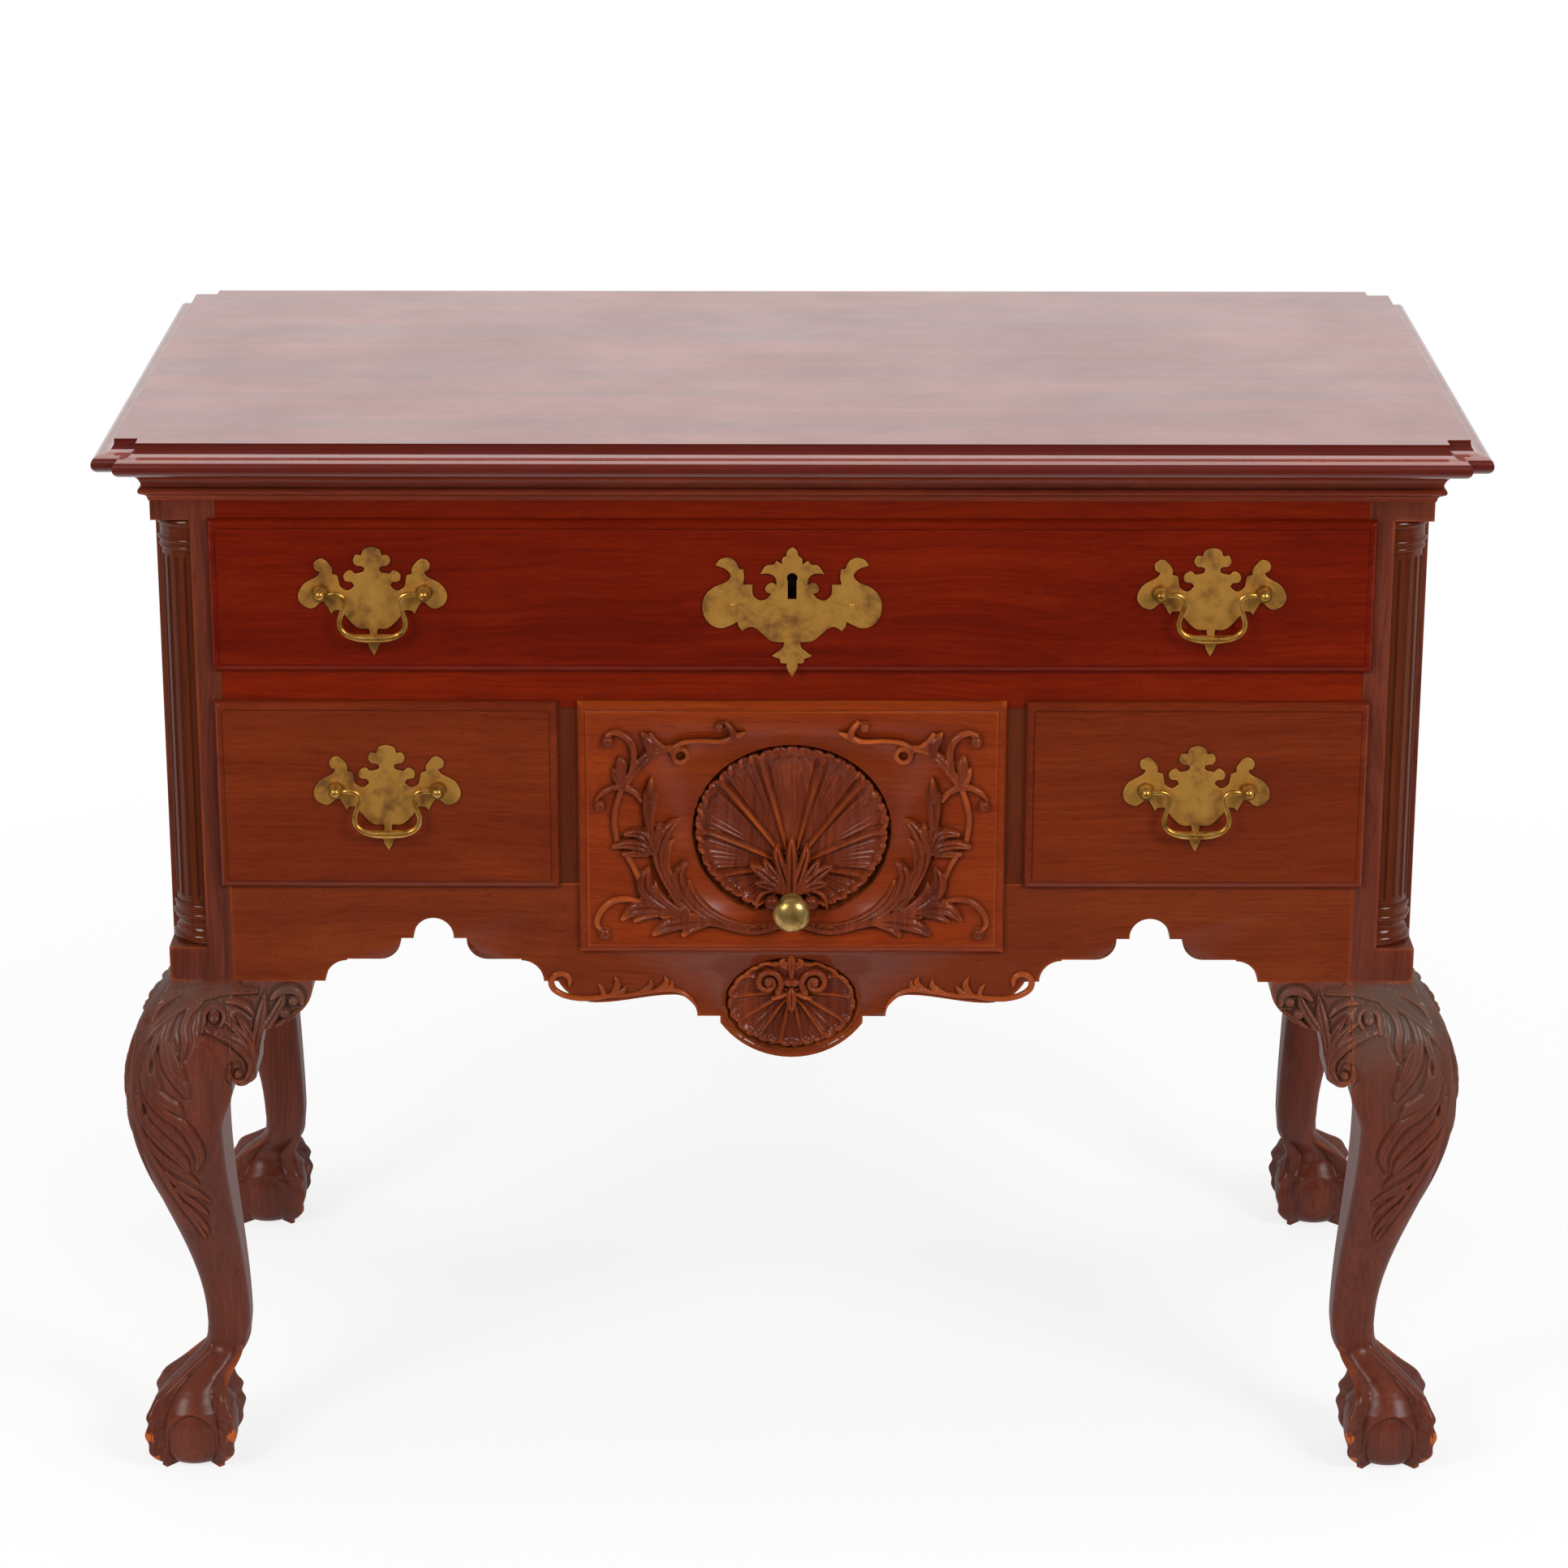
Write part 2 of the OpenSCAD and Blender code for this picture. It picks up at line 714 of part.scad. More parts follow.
// Opening under the apron, about the middle of one arch, over the lower edge: a
// cove, a flat, an ovolo, a step and the round head
module arch_outline() {
    flat_z = arch_cove_r + 1;
    ovolo_r = arch_z - flat_z - 2;
    head_x = arch_r*cos(asin(-1/arch_r));
    polygon(mirrored_outline(concat(
        [[arch_foot + arch_cove_r, -eps]],
        arc(arch_foot, 0, arch_cove_r, 0, 90, 8),
        [[arch_foot, flat_z]],
        arc(arch_step + ovolo_r, flat_z + ovolo_r, ovolo_r, -90, -180, 8),
        [[arch_step, arch_z - 1], [head_x, arch_z - 1]],
        arc(0, arch_z, arch_r, asin(-1/arch_r), 90, 12))));
}

// Shaped drop in the middle of the apron, below the lower edge of the case: a round
// drop, a step, a cove, a wave and the lobe of a scroll. It overlaps the board above.
lobe_x = 137;
lobe_r = 30;
lobe_low = 16;
cove_x = 82;
cove_r = 16;
band_low = 10;
fillet_low = 5;

module drop_outline() {
    step_z = -band_low - cove_r;
    rise = apron_drop + step_z - fillet_low;
    drop_r = (drop_half_w*drop_half_w/rise + rise)/2;
    lobe_z = lobe_r - lobe_low;
    polygon(mirrored_outline(concat(
        arc(0, drop_r - apron_drop, drop_r, -90, asin(drop_half_w/drop_r) - 90, 10),
        [[drop_half_w, step_z]],
        arc(cove_x, step_z, cove_r, 180, 90, 8),
        [for (i = [1:7]) let (t = i/7)
            [cove_x + (lobe_x - cove_x)*t, -band_low - (lobe_low - band_low)*ease(t)]],
        [for (q = arc(lobe_x, lobe_z, lobe_r, -90, asin((eps - lobe_z)/lobe_r), 8))
            if (q[0] > lobe_x) q])));
}

// Carved shell in an oval dish, as the cutter that leaves it. Its reeds spread from
// one point, the foot, to a scalloped lip, with a narrow moat between the lip and the
// wall of the dish. Each ring is the share of the way from the foot to the oval, the
// share of the depth of the dish, and the height of the reeds as a share of it.
shell_sides = 80;
shell_rings = [[1, 1, 0], [0.97, 1, 0], [0.95, 0.3, 0.06], [0.72, 0.72, 0.12],
    [0.42, 0.62, 0.1], [0.14, 0.3, 0]];
scallop = 0.03;

// X is to the right, Y into the wood and Z up, about the centre of the oval. fan is 1
// where the shell spreads upwards from its foot and -1 where it spreads downwards.
function shell_ring(half, foot, reeds, fan, share, depth, wave) =
    [for (i = [0:shell_sides - 1])
        let (t = 360*i/shell_sides, ray = [half[0]*cos(t), half[1]*sin(t)] - foot,
            crest = cos(reeds*atan2(ray[0], fan*ray[1])),
            notch = share < 1 ? scallop*(1 - crest)/2 : 0,
            p = foot + ray*(share - notch*share))
        [p[0], depth - wave*crest, p[1]]];

module shell_cutter(half, foot, deep, reeds, fan) {
    loft(concat([shell_ring(half, foot, reeds, fan, 1, -eps, 0)],
        [for (r = shell_rings) shell_ring(half, foot, reeds, fan, r[0], r[1]*deep, r[2]*deep)]));
}

// Recess in the drop, with its shell upside down and two scrolls over the shell's foot
recess_half_w = drop_half_w - recess_rim/2;
recess_high = apron_mid_h - lip_under - recess_rim;
recess_low = recess_rim - apron_drop;
recess_half_h = (recess_high - recess_low)/2;
recess_z = (recess_high + recess_low)/2;
scroll_r = 0.22*recess_half_h;
scroll_x = 0.38*recess_half_w;
scroll_up = 0.4*recess_half_h;

module apron_shell() {
    difference() {
        shell_cutter([recess_half_w, recess_half_h], [0, 0], recess_d, recess_reeds, -1);
        for (s = [-1, 1]) translate([s*scroll_x, 0.15*recess_d, scroll_up]) rotate([-90, 0, 0])
            cylinder(r = scroll_r, h = recess_d, $fn = 32);
    }
}

module apron() {
    color(mahogany)
        difference() {
            translate([0, front_y + rail_t, leg_h])
                rotate([90, 0, 0]) linear_extrude(rail_t) {
                    difference() {
                        translate([-inner_w/2, 0]) square([inner_w, apron_h]);
                        for (s = [-1, 1]) translate([s*arch_x, 0]) arch_outline();
                        translate([-mid_open_w/2, apron_mid_h])
                            square([mid_open_w, apron_h]);
                    }
                    drop_outline();
                }
            translate([0, front_y, leg_h + recess_z]) apron_shell();
        }
}

// Runners carry the drawer sides, guides keep them straight and kickers stop them
// from tipping. Each strip reaches from the front frame to the back board.
wall_x = half_w - side_t;
open_x = inner_w/2;
mid_x = mid_open_w/2;

module strip(x0, x1, y0, z0, z1) {
    span([x0, y0, z0], [x1, back_inner_y, z1]);
}

// Strip beside the side board, which stops at the rear post
module side_strip(x0, x1, y0, z0, z1) {
    span([x0, y0, z0], [x1, back_y - post, z1]);
}

module upper_runners() {
    color(pine) both_sides()
        span([open_x - runner_w, blade_y, long_open_z - runner_t],
            [wall_x, back_y - post, long_open_z]);
}

module lower_runners() {
    color(pine) both_sides() {
        side_strip(open_x - runner_w, wall_x, max(runner_y, front_y + post),
            low_open_z - runner_t, low_open_z);
        strip(mid_x, mid_x + divider_w + runner_w, runner_y, low_open_z - runner_t, low_open_z);
        strip(mid_x - runner_w, mid_x - fit, runner_y, mid_open_z - runner_t, mid_open_z);
    }
}

module drawer_guides() {
    color(pine) both_sides() {
        side_strip(open_x, wall_x, front_y + post, long_open_z, long_open_z + guide_h);
        side_strip(open_x, wall_x, front_y + post, low_open_z, low_open_z + guide_h);
        strip(mid_x, mid_x + divider_w, blade_y, low_open_z, low_open_z + guide_h);
    }
}

module kickers() {
    color(pine) both_sides() {
        side_strip(open_x - runner_w, wall_x, front_y + post, top_rail_z, top_rail_z + runner_t);
        strip(mid_x - runner_w, mid_x + divider_w + runner_w, blade_y, mid_rail_z,
            mid_rail_z + runner_t);
    }
}

module top_cleats() {
    color(pine) both_sides()
        side_strip(wall_x - runner_t, wall_x, front_y + post, case_top - runner_t, case_top);
}

// Drawers. An opening is [middle, floor, width, height].
function box_w(o) = o[2] - 2*drawer_gap;
function box_h(o) = o[3] - drawer_top_gap;

// What is cut from the edge of a lipped front to leave its quarter round. X runs
// outwards across the edge and Y runs out of the face.
module thumb_cut() {
    r = lip_t - 2.2;
    difference() {
        translate([-lip_mould, -r - 1.2]) square([lip_mould + eps, r + 1.2 + eps]);
        translate([-lip_mould, -r - 1.2]) scale([lip_mould/r, 1]) circle(r = r, $fn = 64);
    }
}

module lipped_front(o) {
    w = o[2] + 2*lip_over;
    h = o[3] + lip_over + lip_under;
    translate([o[0], face_y, o[1] - lip_under + h/2]) {
        difference() {
            translate([-w/2, 0, -h/2]) cube([w, lip_t, h]);
            for (turn = [0, 180]) rotate([0, turn, 0]) {
                translate([w/2, 0, -h/2 - eps]) mirror([0, 1, 0])
                    linear_extrude(h + 2*eps) thumb_cut();
                translate([-w/2 - eps, 0, h/2]) rotate([90, 0, 90]) mirror([1, 0, 0])
                    rotate([0, 0, 90]) linear_extrude(w + 2*eps) mirror([0, 1, 0]) thumb_cut();
            }
        }
    }
    translate([o[0] - box_w(o)/2, front_y - eps, o[1]])
        cube([box_w(o), front_in + eps, box_h(o)]);
}

// Dovetails on the end of a drawer side, as seen from the side: Y runs to the front
function tails(h) = max(2, round(h/38));
module tail_outline(h, grow) {
    n = tails(h);
    pitch = h/n;
    for (k = [0:n - 1]) translate([0, pitch*(k + 0.5)])
        polygon([[-eps, -pitch*0.27 - grow], [tail_l + grow, -pitch*0.38 - grow],
            [tail_l + grow, pitch*0.38 + grow], [-eps, pitch*0.27 + grow]]);
}

module tail_prism(o, grow, thick) {
    rotate([90, 0, -90]) linear_extrude(thick) tail_outline(box_h(o), grow);
}

module drawer_sockets(o) {
    for (s = [-1, 1])
        translate([o[0] + s*(box_w(o) - drawer_side_t)/2 + drawer_side_t/2 + glue, box_y, o[1]])
            tail_prism(o, glue, drawer_side_t + 2*glue);
}

module drawer_front(o) {
    difference() {
        lipped_front(o);
        drawer_sockets(o);
        translate([o[0] - box_w(o)/2 + drawer_side_t, box_y - groove_d, o[1] + bottom_up - glue])
            cube([box_w(o) - 2*drawer_side_t, groove_d + eps, drawer_bottom_t + 2*glue]);
    }
}

module drawer_sides(o) {
    for (s = [-1, 1]) {
        x0 = o[0] + s*(box_w(o) - drawer_side_t)/2 - drawer_side_t/2;
        difference() {
            union() {
                translate([x0, box_y, o[1]]) cube([drawer_side_t, drawer_l, box_h(o)]);
                translate([x0 + drawer_side_t, box_y, o[1]]) tail_prism(o, 0, drawer_side_t);
            }
            translate([o[0] - box_w(o)/2 + drawer_side_t - groove_d, box_y - glue,
                o[1] + bottom_up - glue])
                cube([box_w(o) - 2*drawer_side_t + 2*groove_d, drawer_l + glue + eps,
                    drawer_bottom_t + 2*glue]);
        }
    }
}

module drawer_back(o) {
    translate([o[0] - box_w(o)/2 + drawer_side_t, box_y + drawer_l - drawer_back_t,
        o[1] + bottom_up + drawer_bottom_t])
        cube([box_w(o) - 2*drawer_side_t, drawer_back_t,
            box_h(o) - bottom_up - drawer_bottom_t - 2]);
}

module drawer_bottom(o) {
    reach = groove_d - glue;
    translate([o[0] - box_w(o)/2 + drawer_side_t - reach, box_y, o[1] + bottom_up])
        cube([box_w(o) - 2*drawer_side_t + 2*reach, drawer_l, drawer_bottom_t]);
    translate([o[0] - box_w(o)/2 + drawer_side_t + glue, box_y - reach, o[1] + bottom_up])
        cube([box_w(o) - 2*drawer_side_t - 2*glue, reach + eps, drawer_bottom_t]);
}

// Through holes for the two posts of a pull. Shanks end in a nut behind the front.
front_t = lip_t + front_in;
shank_r = 3;
post_shank_r = 2.4;
post_hole_r = post_shank_r + fit;
nut_t = 4;

module pull_bores(x, z) {
    for (s = [-1, 1]) translate([x + s*boring/2, face_y - eps, z])
        rotate([-90, 0, 0]) cylinder(r = post_hole_r, h = front_t + 2*eps, $fn = 32);
}

long_pulls_z = long_open_z + long_pull_z;
short_pulls_z = low_open_z + short_pull_z;

// Keyhole: a round eye over a slot, as seen from the front, about the eye
eye_r = 3.7;
slot_w = 6;
slot_h = 15;
module keyhole() {
    circle(r = eye_r, $fn = 32);
    translate([-slot_w/2, -slot_h]) square([slot_w, slot_h]);
}

module keyhole_cut(y0, y1) {
    translate([0, y1, long_open_z + key_z]) rotate([90, 0, 0])
        linear_extrude(y1 - y0) keyhole();
}

// Room for the lock in the back of the long drawer's front, open at the top
lock_y = box_y - lock_t;
lock_top = top_rail_z - drawer_top_gap;
bolt_y = lock_y + (lock_t - bolt_t)/2;
bolt_h = 27;

module long_drawer_front() {
    color(mahogany)
        difference() {
            drawer_front(long_opening);
            for (s = [-1, 1]) pull_bores(s*long_pull_x, long_pulls_z);
            keyhole_cut(face_y - eps, box_y + eps);
            span([-lock_w/2 - glue, lock_y, lock_top - lock_h - glue],
                [lock_w/2 + glue, box_y + eps, lock_top + eps]);
        }
}

module left_drawer_front() {
    color(mahogany)
        difference() {
            drawer_front(left_opening);
            pull_bores(-short_x, short_pulls_z);
        }
}

module right_drawer_front() {
    color(mahogany)
        difference() {
            drawer_front(right_opening);
            pull_bores(short_x, short_pulls_z);
        }
}

// The dish leaves a round boss under the knob
module middle_drawer_front() {
    boss_r = knob_foot_r + 1.6;
    color(mahogany)
        difference() {
            drawer_front(middle_opening);
            difference() {
                translate([0, face_y, mid_open_z + dish_z])
                    shell_cutter([dish_half_w, dish_half_h], [0, -dish_foot], dish_d, dish_reeds, 1);
                translate([0, face_y, mid_open_z + knob_z]) rotate([-90, 0, 0])
                    cylinder(r = boss_r, h = front_t, $fn = 48);
            }
            translate([0, face_y - eps, mid_open_z + knob_z]) rotate([-90, 0, 0])
                cylinder(r = shank_r + fit, h = front_t + 2*eps, $fn = 32);
        }
}

module long_drawer_sides() {
    color(pine) drawer_sides(long_opening);
}

module long_drawer_back() {
    color(pine) drawer_back(long_opening);
}

module long_drawer_bottom() {
    color(pine) drawer_bottom(long_opening);
}

module left_drawer_sides() {
    color(pine) drawer_sides(left_opening);
}

module left_drawer_back() {
    color(pine) drawer_back(left_opening);
}

module left_drawer_bottom() {
    color(pine) drawer_bottom(left_opening);
}

module middle_drawer_sides() {
    color(pine) drawer_sides(middle_opening);
}

module middle_drawer_back() {
    color(pine) drawer_back(middle_opening);
}

module middle_drawer_bottom() {
    color(pine) drawer_bottom(middle_opening);
}

module right_drawer_sides() {
    color(pine) drawer_sides(right_opening);
}

module right_drawer_back() {
    color(pine) drawer_back(right_opening);
}

module right_drawer_bottom() {
    color(pine) drawer_bottom(right_opening);
}

// Turned knob on the face of its drawer, with its shank through the front and a
// nut behind. The knob's head is an oval as deep as head_flat times its width.
knob_neck_r = 5.5;
knob_foot_r = 9.4;
knob_foot_t = 2;
knob_neck_l = 17;
head_flat = 0.66;
knob_nut_r = 6;

module middle_knob() {
    color(brass)
        translate([0, face_y, mid_open_z + knob_z])
            rotate([90, 0, 0]) {
                rotate_extrude($fn = 64) {
                    square([knob_foot_r, knob_foot_t]);
                    square([knob_neck_r, knob_neck_l]);
                    intersection() {
                        translate([0, knob_neck_l]) scale([1, head_flat])
                            circle(r = knob_r, $fn = 64);
                        square([knob_r, knob_neck_l + knob_r]);
                    }
                }
                translate([0, 0, -front_t - nut_t]) {
                    cylinder(r = shank_r, h = front_t + nut_t + knob_foot_t, $fn = 32);
                    cylinder(r = knob_nut_r, h = nut_t, $fn = 6);
                }
            }
}

// Smooth curve through a list of points, each a plane point with or without more
// numbers that are carried along
function spline_point(p, i, t) =
    let (n = len(p) - 1, a = p[max(0, i - 1)], b = p[i], c = p[min(n, i + 1)],
        d = p[min(n, i + 2)])
    0.5*(2*b + (c - a)*t + (2*a - 5*b + 4*c - d)*t*t + (3*b - a - 3*c + d)*t*t*t);
function spline(p, steps) = concat(
    [for (i = [0:len(p) - 2], k = [0:steps - 1]) spline_point(p, i, k/steps)],
    [p[len(p) - 1]]);

// Outline of a plate from the curves of its right half, from the top middle to the
// bottom middle. Each curve is smooth, and two curves meet in a corner.
plate_steps = 3;
function half_outline(curves) = [for (c = curves) each
    let (q = spline(c, plate_steps)) [for (i = [0:len(q) - 2]) q[i]]];
module symmetric_plate(curves) {
    right = half_outline(curves);
    bottom = curves[len(curves) - 1];
    tip = bottom[len(bottom) - 1];
    polygon(concat(right, [tip], [for (i = [len(right) - 1:-1:1]) [-right[i][0], right[i][1]]]));
}

// Plate behind a bail, as seen from the front, about the middle of the line
// through its posts
plate_curves = [
    [[0, 31.6], [5.1, 29.8], [7, 25.5]],
    [[7, 25.5], [10.6, 25.9], [12.6, 22], [10.6, 18.7], [7.8, 18.3]],
    [[7.8, 18.3], [5.2, 17], [6.2, 13.8], [12, 12.7]],
    [[12, 12.7], [15, 15.2], [19.2, 12], [18.4, 7.8], [14, 7]],
    [[14, 7], [12.4, 4.2], [16.6, 0.8], [21.6, 3.2], [22.8, 8], [23.4, 11.3]],
    [[23.4, 11.3], [27.3, 12.6]],
    [[27.3, 12.6], [27.4, 17], [33.4, 23.3], [39, 20.4], [38.6, 15.8], [35.3, 14.1]],
    [[35.3, 14.1], [37.6, 10.4], [46.4, 5.4], [50.6, -2], [48.6, -8.6], [41.4, -11.8],
        [35.5, -7.3]],
    [[35.5, -7.3], [33, -7], [28.2, -15.5]],
    [[28.2, -15.5], [26.2, -13.2], [21.6, -13]],
    [[21.6, -13], [15.8, -20.6], [9.6, -25.8], [3, -26]],
    [[3, -26], [2.4, -30], [3.4, -33], [8.5, -33.9]],
    [[8.5, -33.9], [6.6, -36], [4, -36.6], [2.8, -40], [0, -45]]];

module plate_outline() {
    symmetric_plate(plate_curves);
}

module plate(x, z) {
    color(brass)
        translate([x, face_y, z])
            rotate([90, 0, 0])
                difference() {
                    linear_extrude(plate_t) plate_outline();
                    for (s = [-1, 1]) translate([s*boring/2, 0, -eps])
                        cylinder(r = post_hole_r, h = plate_t + 2*eps, $fn = 32);
                }
}

module plate_upper_left() {
    plate(-long_pull_x, long_pulls_z);
}

module plate_upper_right() {
    plate(long_pull_x, long_pulls_z);
}

module plate_lower_left() {
    plate(-short_x, short_pulls_z);
}

module plate_lower_right() {
    plate(short_x, short_pulls_z);
}

// Post: a shank through the drawer front with a nut behind, and a turned head
// with a blind hole for the pintle of the bail
pintle_r = 1.5;
pintle_hole_r = pintle_r + fit;
pintle_in = 3.2;
post_foot_t = 1.2;
post_foot_r = head_r + 1.2;
post_neck_r = head_r - 1;
post_head_z = 2.2;
post_l = 2*bail_out - 3;
post_nut_r = 5.5;

module pull_post() {
    difference() {
        rotate_extrude($fn = 48) {
            square([post_foot_r, post_foot_t]);
            square([post_neck_r, post_l]);
            translate([0, post_head_z]) square([head_r, post_l - post_head_z - 0.8]);
            intersection() {
                translate([0, post_l - 1.2]) circle(r = post_neck_r, $fn = 32);
                square([head_r, 2*post_l]);
            }
        }
        translate([0, 0, bail_out]) rotate([0, 90, 0])
            cylinder(r = pintle_hole_r, h = head_r + eps, $fn = 24);
    }
    translate([0, 0, -front_t - plate_t - nut_t]) {
        cylinder(r = post_shank_r, h = front_t + plate_t + nut_t + post_foot_t, $fn = 32);
        cylinder(r = post_nut_r, h = nut_t, $fn = 6);
    }
}

module pull_posts(x, z) {
    color(brass)
        translate([x, face_y - plate_t, z])
            rotate([90, 0, 0])
                both_sides() translate([-boring/2, 0, 0]) pull_post();
}

module pull_posts_long() {
    for (s = [-1, 1]) pull_posts(s*long_pull_x, long_pulls_z);
}

module pull_posts_left() {
    pull_posts(-short_x, short_pulls_z);
}

module pull_posts_right() {
    pull_posts(short_x, short_pulls_z);
}

// Bail: a wire in a swan neck from each post down to a thicker grip. The half
// path is given as points about the middle of the pull, and a smooth curve
// through them carries the rings. The last number is the thickness.
eye_x = boring/2 - head_r;
bail_points = [
    [eye_x - 1.5, 0, 0.9], [eye_x - 6, 0.3, 1.15], [eye_x - 10.4, -1.8, 1.05],
    [eye_x - 11.8, -6.4, 1], [eye_x - 10.2, -12.4, 1], [eye_x - 8.2, -bail_drop + 12.6, 1],
    [eye_x - 8.8, -bail_drop + 7, 1.02], [eye_x - 12.6, -bail_drop + 2.6, 1.12],
    [eye_x - 18.4, -bail_drop + 0.5, 1.35], [6.5, -bail_drop, 1.6], [0, -bail_drop, grip_r/bail_r]];
bail_steps = 2;

function mirrored(points) = concat(points,
    [for (i = [len(points) - 2:-1:0]) [-points[i][0], points[i][1], points[i][2]]]);

function wire_ring(path, k, sides) =
    let (n = len(path) - 1, a = path[max(0, k - 1)], b = path[min(n, k + 1)], here = path[k],
        dx = b[0] - a[0], dz = b[1] - a[1], m = norm([dx, dz]), r = here[2]*bail_r)
    [for (i = [0:sides - 1]) let (t = 360*i/sides)
        [here[0] - dz/m*r*cos(t), r*sin(t), here[1] + dx/m*r*cos(t)]];

module bail(x, z) {
    path = spline(mirrored(bail_points), bail_steps);
    color(brass)
        translate([x, face_y - plate_t - bail_out, z]) {
            loft([for (k = [0:len(path) - 1]) wire_ring(path, k, 10)]);
            for (s = [-1, 1]) translate([s*(eye_x - 2), 0, 0]) rotate([0, s*90, 0])
                cylinder(r = pintle_r, h = pintle_in + 2, $fn = 24);
        }
}

module bail_upper_left() {
    bail(-long_pull_x, long_pulls_z);
}

module bail_upper_right() {
    bail(long_pull_x, long_pulls_z);
}

module bail_lower_left() {
    bail(-short_x, short_pulls_z);
}

module bail_lower_right() {
    bail(short_x, short_pulls_z);
}

// Plate round the keyhole, as seen from the front, about the eye of the keyhole
escutcheon_curves = [
    [[0, 21.6], [3.2, 19], [4, 15.6]],
    [[4, 15.6], [6.6, 13.4], [7, 9.6]],
    [[7, 9.6], [10.6, 12]],
    [[10.6, 12], [12.8, 9.4], [17.6, 8.6], [21.6, 3]],
    [[21.6, 3], [15.3, 3.2], [11.2, 0], [10.4, -5.2]],
    [[10.4, -5.2], [14.3, -3.4], [18, -6.4], [17.6, -9.6], [14.1, -10.9]],
    [[14.1, -10.9], [17, -14.6], [22.2, -15.8], [26.6, -12], [27, -4.7]],
    [[27, -4.7], [33.6, -4.7]],
    [[33.6, -4.7], [32.6, 0.5], [33.2, 6]],
    [[33.2, 6], [36, 6.2]],
    [[36, 6.2], [38.6, 11.6], [43.6, 14.3], [49, 12.8], [52, 9]],
    [[52, 9], [45, 6.4], [41.6, 1.6], [45.1, -3.1], [53.4, -6.8], [59.4, -13], [61, -21],
        [58.8, -29], [53.4, -34], [46.6, -35.2], [36.9, -30.7]],
    [[36.9, -30.7], [36.4, -34], [33.8, -37.2]],
    [[33.8, -37.2], [29.6, -34.6], [25, -35.2], [20, -39.6], [14, -44.4], [5.4, -45.4]],
    [[5.4, -45.4], [6.8, -50], [13.6, -55.2]],
    [[13.6, -55.2], [8.2, -57.2]],
    [[8.2, -57.2], [7.6, -60], [3.4, -60.4]],
    [[3.4, -60.4], [3.6, -63.6], [0, -69.8]]];

module escutcheon() {
    color(brass)
        translate([0, face_y, long_open_z + key_z])
            rotate([90, 0, 0])
                difference() {
                    linear_extrude(plate_t) symmetric_plate(escutcheon_curves);
                    translate([0, 0, -eps]) linear_extrude(plate_t + 2*eps) keyhole();
                    for (s = [-1, 1]) translate([s*pin_x, pin_z, -eps])
                        cylinder(r = pin_r + glue/2, h = plate_t + 2*eps, $fn = 24);
                }
}

pin_x = 40.5;
pin_z = -19.6;
pin_r = 1;
pin_head_r = 1.9;
pin_head_t = 0.8;

module escutcheon_pins() {
    color(brass)
        for (s = [-1, 1]) translate([s*pin_x, face_y - plate_t, long_open_z + key_z + pin_z])
            rotate([90, 0, 0]) {
                cylinder(r1 = pin_head_r, r2 = pin_r, h = pin_head_t, $fn = 24);
                translate([0, 0, -plate_t]) cylinder(r = pin_r, h = plate_t + pin_head_t/2, $fn = 24);
            }
}

// Lock: a box let into the back of the drawer front, with a bolt that slides up
module lock_case() {
    color(steel)
        difference() {
            span([-lock_w/2, lock_y, lock_top - lock_h], [lock_w/2, box_y, lock_top]);
            span([-bolt_w/2 - fit, bolt_y - fit, lock_top - bolt_h - fit],
                [bolt_w/2 + fit, bolt_y + bolt_t + fit, lock_top + eps]);
            keyhole_cut(lock_y - eps, bolt_y - fit + glue);
        }
}

module lock_bolt() {
    color(steel)
        span([-bolt_w/2, bolt_y, lock_top - bolt_h], [bolt_w/2, bolt_y + bolt_t, lock_top]);
}

top_board();
cornice_front();
cornice_left();
cornice_right();
leg_front_left();
leg_front_right();
leg_back_left();
leg_back_right();
knee_blocks_front();
knee_blocks_left();
knee_blocks_right();
quarter_column_left();
quarter_column_right();
side_left();
side_right();
back_panel();
top_rail();
middle_rail();
divider_left();
divider_right();
apron();
upper_runners();
lower_runners();
drawer_guides();
kickers();
top_cleats();
long_drawer_front();
long_drawer_sides();
long_drawer_back();
long_drawer_bottom();
left_drawer_front();
left_drawer_sides();
left_drawer_back();
left_drawer_bottom();
middle_drawer_front();
middle_drawer_sides();
middle_drawer_back();
middle_drawer_bottom();
right_drawer_front();
right_drawer_sides();
right_drawer_back();
right_drawer_bottom();
escutcheon();
escutcheon_pins();
lock_case();
lock_bolt();
middle_knob();
plate_upper_left();
plate_upper_right();
plate_lower_left();
plate_lower_right();
bail_upper_left();
bail_upper_right();
bail_lower_left();
bail_lower_right();
pull_posts_long();
pull_posts_left();
pull_posts_right();
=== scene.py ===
# %% [markdown]
# # A carved dressing table
# The table is a case of drawers on four curved legs. Its solids come from the packed
# part, which fixes every size. This lesson adds what a cabinet maker adds last: the
# carving, the eased edges, the polish and the brasses, and then a soft studio light.

# %% Load the frame
import math

import bpy
import numpy as np
from mathutils import Matrix, Vector


